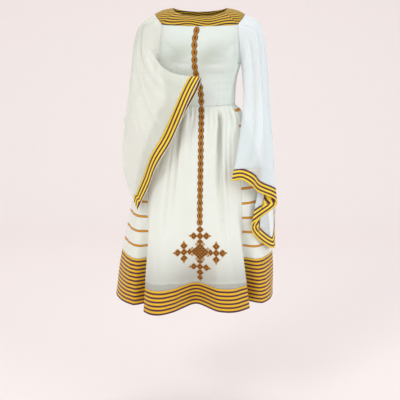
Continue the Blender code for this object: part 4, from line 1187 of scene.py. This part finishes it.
LEFT_CREASES = (
    Crease(0.10, 0.10, 0.06, 0.90, 7, -3.2, 4), Crease(0.17, 0.08, 0.15, 0.92, 6, 2.6, -4),
    Crease(0.24, 0.10, 0.24, 0.92, 7, -3.0, 4), Crease(0.31, 0.10, 0.33, 0.88, 7, 2.6, 0),
    Crease(0.38, 0.12, 0.41, 0.90, 7, -3.0, -3), Crease(0.50, 0.10, 0.52, 0.86, 8, -3.0, 3),
    Crease(0.62, 0.12, 0.60, 0.90, 8, 2.8, 0), Crease(0.74, 0.10, 0.73, 0.88, 8, -3.0, 3),
    Crease(0.86, 0.12, 0.88, 0.82, 7, -2.4, 0), Crease(0.97, 0.30, 0.05, 0.86, 8, 2.4, 0),
    Crease(0.13, 0.02, 0.12, 0.30, 5, -2.6, 0), Crease(0.28, 0.02, 0.28, 0.28, 5, -2.2, 0),
    Crease(0.05, 0.55, 0.28, 0.62, 9, -2.6, 4), Crease(0.08, 0.75, 0.30, 0.86, 9, 2.2, 4),
    Crease(0.035, 0.03, 0.09, 0.66, 8, -3.6, 6), Crease(0.085, 0.03, 0.15, 0.58, 8, 2.8, 5),
    Crease(0.02, 0.30, 0.05, 0.98, 7, -2.4, 3),
)
CREASE_STRENGTH = 2.2
SLEEVE_SEAM = 1.9
SLEEVE_ROWS = 74
CUFF_ROWS = 9
SLEEVE_COLUMNS = 190
CUFF_CORNER = 0.10


# %% Surface of a sleeve
def armhole_curve(side):
    """A function that gives points round an armhole, from the shoulder forwards and down, and back up."""
    levels = np.array([-90.0, -130.0, -170.0])
    front = [shoulder_edge(0.25, side)[0], shoulder_edge(0, side)[0]]
    front += list(bodice_point(levels, side * armhole_angle(levels)))
    under = [bodice_point(np.array([UNDERARM]), np.array([side * math.pi / 2]))[0]]
    back = list(bodice_point(levels[::-1], side * armhole_angle(levels[::-1], True)))
    back += [shoulder_edge(1, side)[0], shoulder_edge(0.75, side)[0]]
    points = [shoulder_edge(0.5, side)[0]] + front + under + back
    lengths = np.linalg.norm(np.diff(points + points[:1], axis=0), axis=1)
    passed = np.concatenate([[0], np.cumsum(lengths)]) / lengths.sum()

    def point(share):
        place = np.interp(np.asarray(share) % 1.0, passed, np.arange(len(passed))) / len(points)
        return through(points, place, closed=True) + np.array([side * SLEEVE_SEAM, 0.0, 0.0])
    return point


def sleeve_grid(lines, armhole, turns, downs):
    """Points of a sleeve. Turns go round it; downs, rows by columns, go from armhole to opening."""
    count = len(lines)
    starts = np.array([armhole(line.armhole)[0] for line in lines])
    flat = downs.ravel()
    stations = np.array([through([start, line.cap, line.elbow, line.middle, line.edge], flat)
                         for start, line in zip(starts, lines)]).reshape(count, *downs.shape, 3)
    place = (turns % 1.0) * count
    k = place.astype(int) % count
    t = (place - place.astype(int))[None, :, None]
    columns = np.arange(len(turns))

    def line_at(shift):
        return stations[(k + shift) % count, :, columns].transpose(1, 0, 2)

    grid = bend(line_at(-1), line_at(0), line_at(1), line_at(2), t)
    near = np.clip(1 - 4 * downs, 0, None) ** 2
    shares = [line.armhole for line in lines]
    unwound = np.unwrap(np.array(shares + shares[:1]) * 2 * math.pi) / (2 * math.pi)
    share = np.interp(turns * count, np.arange(count + 1), unwound)
    plain = through(starts, turns, closed=True)
    return grid + (armhole(share) - plain)[None] * near[..., None]


def edge_distances(points, turns, edge):
    """How far each point of a sleeve is from the nearest point of its edge on its own side of a fold."""
    round_edge = np.linspace(0, 1, len(edge), endpoint=False)
    apart = np.abs((round_edge[None, :] - turns[:, None] + 0.5) % 1.0 - 0.5)
    distances = np.linalg.norm(points[:, :, None, :] - edge[None, None], axis=3)
    return np.where(apart[None] < CUFF_CORNER, distances, np.inf).min(axis=2)


def cuff_starts(lines, armhole, turns):
    """How far down a sleeve its border starts, so that it is as wide all round."""
    round_edge = np.linspace(0, 1, 160, endpoint=False)
    edge = sleeve_grid(lines, armhole, round_edge, np.ones((1, 160)))[0]
    downs = np.linspace(1.0, 0.6, 41)
    points = sleeve_grid(lines, armhole, turns, np.repeat(downs[:, None], len(turns), axis=1))
    distances = edge_distances(points, turns, edge)
    found = np.argmax(distances >= CUFF, axis=0)
    columns = np.arange(len(turns))
    reached = distances[found, columns]
    before = distances[found - 1, columns]
    return downs[found - 1] + (downs[found] - downs[found - 1]) * (CUFF - before) / (reached - before)


def sleeve_depth(folds, creases, count, turns, downs):
    """How far a sleeve's folds and creases move its surface out."""
    total = np.zeros(downs.shape)
    for fold in folds:
        away = np.abs((turns * count - fold.place + count / 2) % count - count / 2)
        strength = ease((downs - fold.none) / (fold.full - fold.none))
        across = np.where(away < fold.reach, 0.5 * (1 + np.cos(math.pi * away / fold.reach)), 0.0)
        total += fold.depth * strength * across[None]
    fine = crease_depth(turns[None], downs, 620, 640, creases, closed=True)
    return total + CREASE_STRENGTH * fine * ease(downs / 0.06)


# %% Build the sleeves and their borders
def make_sleeve(name, lines, folds, creases, side, cotton, stripes):
    armhole = armhole_curve(side)
    turns = np.linspace(0, 1, SLEEVE_COLUMNS, endpoint=False)
    starts = cuff_starts(lines, armhole, turns)
    above = starts[None] * np.linspace(0, 1, SLEEVE_ROWS + 1)[:, None]
    below = starts[None] + (1 - starts[None]) * np.linspace(0.012, 1, CUFF_ROWS + 1)[:, None]
    downs = np.concatenate([above, below])
    grid = sleeve_grid(lines, armhole, turns, downs)
    out = side * (moved_out(grid, 1.0, True) - grid)
    depth = sleeve_depth(folds, creases, len(lines), turns, downs)
    grid = grid + out * (depth + side * soft_unevenness(grid, 0.5) * ease(downs / 0.1))[..., None]
    v = (CUFF - edge_distances(grid[SLEEVE_ROWS + 1:], turns, grid[-1])) * MM
    if side < 0:
        grid = grid[:, ::-1]
        v = v[:, ::-1]
    sleeve = cloth_shell("sleeve_cloth_" + name, grid[:SLEEVE_ROWS + 1], SHEER_WALL, cotton, closed=True)
    keep(sleeve, "sheer cotton", "sleeve_" + name)
    cuff = cloth_shell("cuff_border_" + name, grid[SLEEVE_ROWS + 1:], SHEER_WALL + 0.3, stripes, closed=True,
                       v=v)
    keep(cuff, "stripes", "cuff_band_" + name)


make_sleeve("right", RIGHT_LINES, RIGHT_FOLDS, RIGHT_CREASES, 1, sheer_painted_cool_light, right_cuff_stripes)
make_sleeve("left", LEFT_LINES, LEFT_FOLDS, LEFT_CREASES, -1, sheer_painted_warm_light, left_cuff_stripes)
print("sleeve columns:", SLEEVE_COLUMNS)

# %% [markdown]
# ## Thread work with Geometry Nodes
#
# The chain and the cross are satin stitch: threads laid side by side until they form raised, shining
# ribbons and diamonds. What repeats is grown by trees of geometry nodes. They are all laid out flat
# first, as the embroiderer draws them on the cloth. Then a ray from the front finds the cloth behind
# each point, and the work moves back onto it. The alternative, one drawing turned into a bump, would
# have no edge and no thickness where strands cross.

# %% Helpers for geometry trees
class Growth:
    """A geometry tree in the making. Its named inputs are set each time that it is used."""

    def __init__(self, name, **inputs):
        self.group = bpy.data.node_groups.new(name, "GeometryNodeTree")
        face = self.group.interface
        face.new_socket("Geometry", in_out="INPUT", socket_type="NodeSocketGeometry")
        self.keys = {}
        for title, kind in inputs.items():
            socket = face.new_socket(title, in_out="INPUT", socket_type="NodeSocket" + kind)
            self.keys[title] = socket.identifier
        face.new_socket("Geometry", in_out="OUTPUT", socket_type="NodeSocketGeometry")
        self.start = self.group.nodes.new("NodeGroupInput")
        self.end = self.group.nodes.new("NodeGroupOutput")

    def given(self, title):
        return self.start.outputs[title]

    def add(self, kind, *values, output=0, **settings):
        """A node whose sockets take the values in order. None leaves a socket as it is."""
        full = kind if kind.startswith(("ShaderNode", "FunctionNode")) else "GeometryNode" + kind
        node = self.group.nodes.new(full)
        for name, value in settings.items():
            setattr(node, name, value)
        sockets = [socket for socket in node.inputs if socket.enabled]
        for socket, value in zip(sockets, values):
            if isinstance(value, bpy.types.NodeSocket):
                self.group.links.new(value, socket)
            elif value is not None:
                socket.default_value = value
        return [socket for socket in node.outputs if socket.enabled][output]

    def math(self, operation, *values):
        return self.add("ShaderNodeMath", *values, operation=operation)

    def lay_on_cloth(self, geometry, base):
        """Moves flat work back until it lies on the cloth, proud of it by a base."""
        cloth = self.add("ObjectInfo", self.given("Cloth"), output=4)
        place = self.add("InputPosition")
        split = self.group.nodes.new("ShaderNodeSeparateXYZ")
        self.group.links.new(place, split.inputs[0])
        source = self.add("ShaderNodeCombineXYZ", split.outputs["X"], -1.0, split.outputs["Z"])
        hit = self.add("Raycast", cloth, None, source, (0, 1, 0), 2.0, output=1)
        found = self.group.nodes.new("ShaderNodeSeparateXYZ")
        self.group.links.new(hit, found.inputs[0])
        back = self.math("SUBTRACT", found.outputs["Y"], base)
        offset = self.add("ShaderNodeCombineXYZ", 0.0, back, 0.0)
        return self.add("SetPosition", geometry, None, None, offset)

    def finish(self, geometry):
        whole = self.add("RealizeInstances", geometry)
        smooth = self.add("SetShadeSmooth", whole)
        painted = self.add("SetMaterial", smooth, None, self.given("Material"))
        self.group.links.new(painted, self.end.inputs[0])


def grow(name, tree, source, **inputs):
    """Runs a tree on an object and keeps the result as a plain mesh."""
    modifier = source.modifiers.new(tree.group.name, "NODES")
    modifier.node_group = tree.group
    for title, value in inputs.items():
        modifier[tree.keys[title]] = value
    graph = bpy.context.evaluated_depsgraph_get()
    mesh = bpy.data.meshes.new_from_object(source.evaluated_get(graph))
    bpy.data.objects.remove(source)
    mesh.name = name
    made = bpy.data.objects.new(name, mesh)
    scene.collection.objects.link(made)
    return made


def joined(name, parts):
    """Several finished meshes as one piece."""
    with bpy.context.temp_override(active_object=parts[0], object=parts[0], selected_editable_objects=parts,
                                   selected_objects=parts):
        bpy.ops.object.join()
    parts[0].name = name
    parts[0].data.name = name
    return parts[0]


def line_object(runs):
    """A mesh of open lines, each run a list of points in millimetres."""
    points = []
    edges = []
    for run in runs:
        start = len(points)
        points += [tuple(point) for point in np.asarray(run) * MM]
        edges += [(k, k + 1) for k in range(start, len(points) - 1)]
    mesh = bpy.data.meshes.new("line")
    mesh.from_pydata(points, edges, [])
    made = bpy.data.objects.new("line", mesh)
    scene.collection.objects.link(made)
    return made


# %% [markdown]
# ### The braided chain
#
# Two gold strands swing from side to side and cross once in each link, one over the other by turns,
# on a scalloped ground of dark thread. The same tree draws all of them: a strand is a tube whose
# middle swings by a sine wave, and the ground is one that stays in the middle and swells. Each gold
# strand gets a dark brown one under it, a little wider, which outlines it where it crosses the other
# and stands for the shadow that it casts there: painted shadow in dark thread.

# %% Grow the chain
CHAIN_UNIT = 24.6
Course = namedtuple("Course", "level x")
CHAIN_COURSE = (
    Course(-64, -10), Course(-125, -20), Course(-185, -20), Course(-235, -13), Course(-275, 0),
    Course(-347, 5), Course(-500, 3), Course(-685, 0), Course(-776, -1),
)


def strand_tree():
    tree = Growth("strand", Cloth="Object", Unit="Float", Swing="Float", Phase="Float", Narrow="Float",
                  Wide="Float", Flat="Float", Lift="Float", Base="Float", Material="Material")
    course = tree.add("MeshToCurve", tree.given("Geometry"))
    course = tree.add("ResampleCurve", course, None, 0.0014, mode="LENGTH")
    length = tree.add("SplineParameter", output=1)
    turn = tree.math("MULTIPLY_ADD", tree.math("DIVIDE", length, tree.given("Unit")), math.pi,
                     tree.given("Phase"))
    aside = tree.math("MULTIPLY", tree.math("SINE", turn), tree.given("Swing"))
    over = tree.math("MULTIPLY", tree.math("COSINE", turn), tree.given("Lift"))
    swell = tree.math("ABSOLUTE", tree.math("SINE", turn))
    growth = tree.math("SUBTRACT", tree.given("Wide"), tree.given("Narrow"))
    radius = tree.math("MULTIPLY_ADD", swell, growth, tree.given("Narrow"))
    moved = tree.add("SetPosition", course, None, None, tree.add("ShaderNodeCombineXYZ", aside, 0.0, 0.0))
    marked = tree.add("StoreNamedAttribute", moved, None, "over", over, data_type="FLOAT", domain="POINT")
    circle = tree.add("CurvePrimitiveCircle", 8, 1.0)
    tube = tree.add("CurveToMesh", marked, circle, radius, True)
    split = tree.group.nodes.new("ShaderNodeSeparateXYZ")
    tree.group.links.new(tree.add("InputPosition"), split.inputs[0])
    raised = tree.add("InputNamedAttribute", "over", data_type="FLOAT")
    forward = tree.math("MULTIPLY", raised, -1.0)
    height = tree.math("MULTIPLY_ADD", split.outputs["Y"], tree.given("Flat"), forward)
    flat = tree.add("ShaderNodeCombineXYZ", split.outputs["X"], height, split.outputs["Z"])
    low = tree.add("SetPosition", tube, None, flat)
    clean = tree.add("RemoveAttribute", low, "over")
    tree.finish(tree.lay_on_cloth(clean, tree.given("Base")))
    return tree


Strand = namedtuple("Strand", "title swing phase narrow wide flat lift base")
# The shadow strands are dark thread and painted shadow under the gold ones
STRANDS = (
    Strand("ground", 0.0, 0.0, 4.8, 10.6, 0.05, 0.0, 0.30),
    Strand("shadow one", 6.0, 0.0, 4.8, 4.8, 0.16, 0.25, 0.60),
    Strand("shadow two", 6.0, math.pi, 4.8, 4.8, 0.16, 0.25, 0.60),
    Strand("gold one", 6.0, 0.0, 3.1, 3.1, 0.26, 0.45, 0.95),
    Strand("gold two", 6.0, math.pi, 3.1, 3.1, 0.26, 0.45, 0.95),
)
strands = strand_tree()


def grow_chain(name, cloth, top, bottom):
    """One stretch of the chain on a piece of cloth."""
    levels = np.arange(top, bottom, -2.0)
    line = np.stack([along(CHAIN_COURSE, "x", levels), 0 * levels, levels], axis=1)
    count = max(1, round((top - bottom) / CHAIN_UNIT))
    unit = (top - bottom) / count
    parts = []
    for strand in STRANDS:
        material = gold_thread if "gold" in strand.title else brown_thread
        parts.append(grow(strand.title, strands, line_object([line]), Cloth=cloth, Unit=unit * MM,
                          Swing=strand.swing * MM, Phase=strand.phase, Narrow=strand.narrow * MM,
                          Wide=strand.wide * MM, Flat=strand.flat, Lift=strand.lift * MM,
                          Base=strand.base * MM, Material=material))
    print(name, "links:", count, "faces:", sum(len(part.data.polygons) for part in parts))
    return joined(name, parts)


panel_front = bpy.data.objects["panel_front"]
keep(grow_chain("chain_bodice", front, -65.0, -345.5), "embroidery", "embroidered_chain_bodice")
keep(grow_chain("chain_skirt", panel_front, -348.6, -780.0), "embroidery", "embroidered_chain_skirt")

# %% [markdown]
# ### The cross
#
# The cross is built of diamonds that touch at their corners: a close lattice of small ones in the
# middle and four arms of large ones. Every large diamond is a dark field with a gold outline and a
# gold centre, and every small one a dark field in a gold outline. A table of
# places and sizes, worked out by loops, feeds points to the trees, and each tree puts one shape on
# all of them. Long diamonds draw the ends of the arms out to points, and pale ovals sit round the
# lattice.

# %% Grow the cross
CROSS_CENTRE = (0.0, -884.0)
DIAMOND = 12.2
SMALL = 6.6
LATTICE = 4
LINK_PLACE = 39.0
NODE_PLACE = 60.0
TALL = 1.06
Tile = namedtuple("Tile", "x z half_width half_height")


def cross_tiles():
    """The large and small diamonds of the cross, its spikes and its pale ovals, about its centre."""
    steps = range(-LATTICE, LATTICE + 1)
    small = [Tile(column * SMALL, row * SMALL, SMALL, SMALL) for column in steps for row in steps
             if (column + row) % 2 == 0 and abs(column) + abs(row) <= LATTICE]
    large = []
    spikes = []
    ovals = []
    for across, up in ((1, 0), (0, 1), (-1, 0), (0, -1)):
        def add(rows, distance, aside, half_along, half_beside):
            sizes = (half_along, half_beside) if across else (half_beside, half_along)
            rows.append(Tile(across * distance - up * aside, up * distance + across * aside, *sizes))

        last = NODE_PLACE + 2 * DIAMOND - 1
        add(large, LINK_PLACE, 0, 9.2, 11.5)
        for distance, aside in ((NODE_PLACE, 0), (NODE_PLACE, 2 * DIAMOND - 1), (NODE_PLACE, 1 - 2 * DIAMOND),
                                (last, 0)):
            add(large, distance, aside, DIAMOND, DIAMOND)
        for side in (-1, 1):
            add(spikes, NODE_PLACE, side * (2 * DIAMOND + 6.0), 7.2, 16.0)
            add(ovals, 29.0, side * 11.8, 3.6, 4.8)
            add(small, 29.0, side * 11.8, 6.2, 6.8)
        if up < 0:
            add(large, last + 2 * DIAMOND - 3, 0, DIAMOND * 0.95, DIAMOND * 0.8)
        elif across:
            add(spikes, last + 6.0, 0, 16.0, 7.2)
    return [[row._replace(z=row.z * TALL, half_height=row.half_height * TALL) for row in rows]
            for rows in (large, small, spikes, ovals)]


def motif_tree(shape):
    """A tree that puts a ring, a pyramid or a dot on every point, scaled by the point's size."""
    tree = Growth(shape, Cloth="Object", Share="Float", Height="Float", Base="Float", Material="Material")
    if shape == "ring":
        square = tree.add("ResampleCurve", tree.add("CurvePrimitiveCircle", 4, 1.0), None, 16, mode="COUNT")
        made = tree.add("CurveToMesh", square, tree.add("CurvePrimitiveCircle", 6, 1.0), 0.15, False)
    elif shape == "pyramid":
        made = tree.add("SubdivideMesh", tree.add("MeshCone", 4, 1, 1, 0.0, 1.0, 1.0), 2)
    else:
        made = tree.add("MeshUVSphere", 10, 6, 1.0)
    stood = tree.add("Transform", made, None, (math.pi / 2, 0, 0))
    size = tree.add("InputNamedAttribute", "size", data_type="FLOAT_VECTOR")
    factor = tree.add("ShaderNodeCombineXYZ", tree.given("Share"), tree.given("Height"), tree.given("Share"))
    scaled = tree.add("ShaderNodeVectorMath", size, factor, operation="MULTIPLY")
    spots = tree.add("InstanceOnPoints", tree.given("Geometry"), None, stood, None, None, None, scaled)
    whole = tree.add("RealizeInstances", spots)
    clean = tree.add("RemoveAttribute", whole, "size")
    tree.finish(tree.lay_on_cloth(clean, tree.given("Base")))
    return tree


def point_object(rows):
    """Loose points at the tiles, each with its size."""
    mesh = bpy.data.meshes.new("points")
    places = [((CROSS_CENTRE[0] + row.x) * MM, 0.0, (CROSS_CENTRE[1] + row.z) * MM) for row in rows]
    mesh.from_pydata(places, [], [])
    sizes = mesh.attributes.new("size", "FLOAT_VECTOR", "POINT")
    sizes.data.foreach_set("vector", [value for row in rows for value in
                                      (row.half_width * MM, 1.0, row.half_height * MM)])
    made = bpy.data.objects.new("points", mesh)
    scene.collection.objects.link(made)
    return made


large, small, spikes, ovals = cross_tiles()
trees = {shape: motif_tree(shape) for shape in ("ring", "pyramid", "dot")}
Motif = namedtuple("Motif", "shape rows share height base material")
MOTIFS = (
    Motif("pyramid", spikes, 1.0, 0.0006, -0.0001, gold_thread),
    Motif("pyramid", large, 1.18, 0.0009, -0.0001, brown_thread),
    Motif("ring", large, 1.00, 0.006, 0.0004, gold_thread),
    Motif("pyramid", large, 0.44, 0.0013, 0.0004, gold_thread),
    Motif("pyramid", small, 1.20, 0.0007, -0.0001, brown_thread),
    Motif("ring", small, 0.84, 0.005, 0.0004, gold_thread),
    Motif("dot", ovals, 1.15, 0.0005, 0.0001, brown_thread),
    Motif("dot", ovals, 0.80, 0.0008, 0.0002, pale_thread),
)
parts = []
for motif in MOTIFS:
    parts.append(grow("cross part", trees[motif.shape], point_object(motif.rows), Cloth=panel_front,
                      Share=motif.share, Height=motif.height, Base=motif.base, Material=motif.material))
cross = joined("cross", parts)
keep(cross, "embroidery", "embroidered_cross")
print("diamonds:", len(large) + len(small), "spikes:", len(spikes), "faces:", len(cross.data.polygons))

# %% [markdown]
# ### Stitches along the seams
#
# A seam that is sewn down shows a row of small stitches beside it. Each row is a line just above the
# cloth, taken from the outer side of a panel. The tree walks along the line at one stitch each pitch,
# turns every stitch along it, and makes them unequal by a few hundredths with a fixed seed.

# %% Grow the stitches
def stitch_tree():
    tree = Growth("stitches", Pitch="Float", Length="Float", Thick="Float", Seed="Int", Material="Material")
    line = tree.add("MeshToCurve", tree.given("Geometry"))
    line = tree.add("ResampleCurve", line, None, tree.given("Pitch"), mode="LENGTH")
    turned = tree.add("FunctionNodeAlignRotationToVector", None, None, tree.add("InputTangent"), axis="X")
    size = tree.add("ShaderNodeCombineXYZ", tree.given("Length"), tree.given("Thick"), tree.given("Thick"))
    thread = tree.add("Transform", tree.add("MeshUVSphere", 5, 4, 0.5), None, None, size)
    uneven = tree.add("FunctionNodeRandomValue", 0.85, 1.15, None, tree.given("Seed"), data_type="FLOAT")
    tree.finish(tree.add("InstanceOnPoints", line, None, thread, None, None, turned, uneven))
    return tree


def row_at(name, share):
    """A row of a panel's outer side, at a share of the way down it, lifted a little."""
    grid = moved_out(OUTSIDES[name], 0.12, name in TUBES)
    place = share * (grid.shape[0] - 1)
    k = min(int(place), grid.shape[0] - 2)
    return grid[k] + (grid[k + 1] - grid[k]) * (place - k)


def column_at(name, share):
    grid = moved_out(OUTSIDES[name], 0.12)
    place = share * (grid.shape[1] - 1)
    k = min(int(place), grid.shape[1] - 2)
    return grid[:, k] + (grid[:, k + 1] - grid[:, k]) * (place - k)


def round_run(row):
    return np.concatenate([row, row[:1]])


bands = ["border_" + name for name in PANEL_PLACES]
strips = ["yoke_strip_" + name for name in STRIPS]
cuffs = ["cuff_border_right", "cuff_border_left"]
backs = ["bodice_back_cloth_right", "bodice_back_cloth_left"]
yellow_runs = [row_at(name, 0.035) for name in strips] + [row_at(name, 0.955) for name in strips]
yellow_runs += [column_at(name, share) for name in strips[:2] for share in (0.012, 0.988)]
yellow_runs += [row_at(name, 0.03) for name in bands]
dark_runs = [row_at(name, 0.975) for name in bands]
dark_runs += [round_run(row_at(name, 0.045)) for name in cuffs]
white_runs = [row_at(name, share) for name in ["bodice_front_cloth"] + backs for share in (0.012, 0.985)]
white_runs += [column_at("bodice_front_cloth", share) for share in (0.012, 0.988)]
white_runs += [column_at(name, share) for name in backs for share in (0.02, 0.98)]
white_runs += [column_at(name, share) for name in ("panel_front", "panel_back") for share in (0.007, 0.993)]
STITCH_LONG = 0.0024
STITCH_THICK = 0.0006
stitches = stitch_tree()
Sewing = namedtuple("Sewing", "name runs material slot pitch seed")
SEWING = (
    Sewing("stitches_yellow", yellow_runs, yellow_thread, "stripes", 3.4, 3),
    Sewing("stitches_dark", dark_runs, brown_thread, "stripes", 3.6, 5),
    Sewing("stitches_white", white_runs, white_thread, "white cotton", 3.4, 8),
)
for sewing in SEWING:
    made = grow(sewing.name, stitches, line_object(sewing.runs), Pitch=sewing.pitch * MM,
                Length=STITCH_LONG, Thick=STITCH_THICK, Seed=sewing.seed, Material=sewing.material)
    keep(made, sewing.slot)
    print(sewing.name, "runs:", len(sewing.runs), "faces:", len(made.data.polygons))

# %% [markdown]
# ## The cuts of the cloth
#
# Each piece of cloth was cut flat before it was sewn, and gathers and darts take in some of it. So a
# cut is a little larger than what shows. Its width is along the widest row of the panel, its length
# down the longest column, and its area is that of its real outline, in metres and square metres.

Cut = namedtuple("Cut", "piece width length area held rests_on sewn_on")
BODICE = ("bodice_front_cloth", "bodice_back_cloth_right", "bodice_back_cloth_left")
CUTS = (
    Cut("panel_front", 0.640, 0.700, 0.370, "gathered", BODICE[:1], ("chain_skirt", "cross")),
    Cut("panel_side_right", 0.400, 0.612, 0.215, "gathered", BODICE[:2], ()),
    Cut("panel_back", 0.520, 0.696, 0.330, "gathered", BODICE[1:], ()),
    Cut("panel_side_left", 0.400, 0.616, 0.205, "gathered", BODICE[::2], ()),
    Cut("border_front", 0.685, 0.093, 0.0620, "hung", ("panel_front",), ("stitches_dark",)),
    Cut("border_side_right", 0.405, 0.186, 0.0740, "hung", ("panel_side_right",), ()),
    Cut("border_back", 0.530, 0.093, 0.0480, "hung", ("panel_back",), ()),
    Cut("border_side_left", 0.430, 0.187, 0.0780, "hung", ("panel_side_left",), ()),
    Cut("lining", 1.145, 0.690, 0.690, "hung", BODICE, ()),
    Cut("bodice_front_cloth", 0.470, 0.320, 0.115, "draped", ("yoke_strip_front",),
        ("chain_bodice", "stitches_white")),
    Cut("bodice_back_cloth_right", 0.205, 0.315, 0.052, "draped", ("yoke_strip_back",), ()),
    Cut("bodice_back_cloth_left", 0.205, 0.315, 0.052, "draped", ("yoke_strip_back",), ()),
    Cut("yoke_strip_front", 0.285, 0.073, 0.0127, "draped", ("yoke_strip_shoulder_right",),
        ("stitches_yellow",)),
    Cut("yoke_strip_back", 0.285, 0.081, 0.0153, "draped", ("yoke_strip_shoulder_right",), ()),
    Cut("yoke_strip_shoulder_right", 0.175, 0.081, 0.0092, "draped", (), ()),
    Cut("yoke_strip_shoulder_left", 0.175, 0.081, 0.0092, "draped", (), ()),
    Cut("sleeve_cloth_right", 1.130, 0.870, 0.335, "hung", ("yoke_strip_shoulder_right",), ()),
    Cut("sleeve_cloth_left", 1.075, 0.760, 0.310, "hung", ("yoke_strip_shoulder_left",), ()),
    Cut("cuff_border_right", 1.150, 0.041, 0.0470, "hung", ("sleeve_cloth_right",), ()),
    Cut("cuff_border_left", 1.145, 0.040, 0.0445, "hung", ("sleeve_cloth_left",), ()),
)
for cut in CUTS:
    width, length, area = MEASURED[cut.piece]
    print(cut.piece, "widest", round(width, 3), "longest", round(length, 3), "shows", round(area, 4),
          "of", cut.area)

# %% Attach the pieces to the root and hide the solids that they stand for
for name, (made, slot, nodes) in PIECES.items():
    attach(made, "root")
    if nodes:
        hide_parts(*nodes)
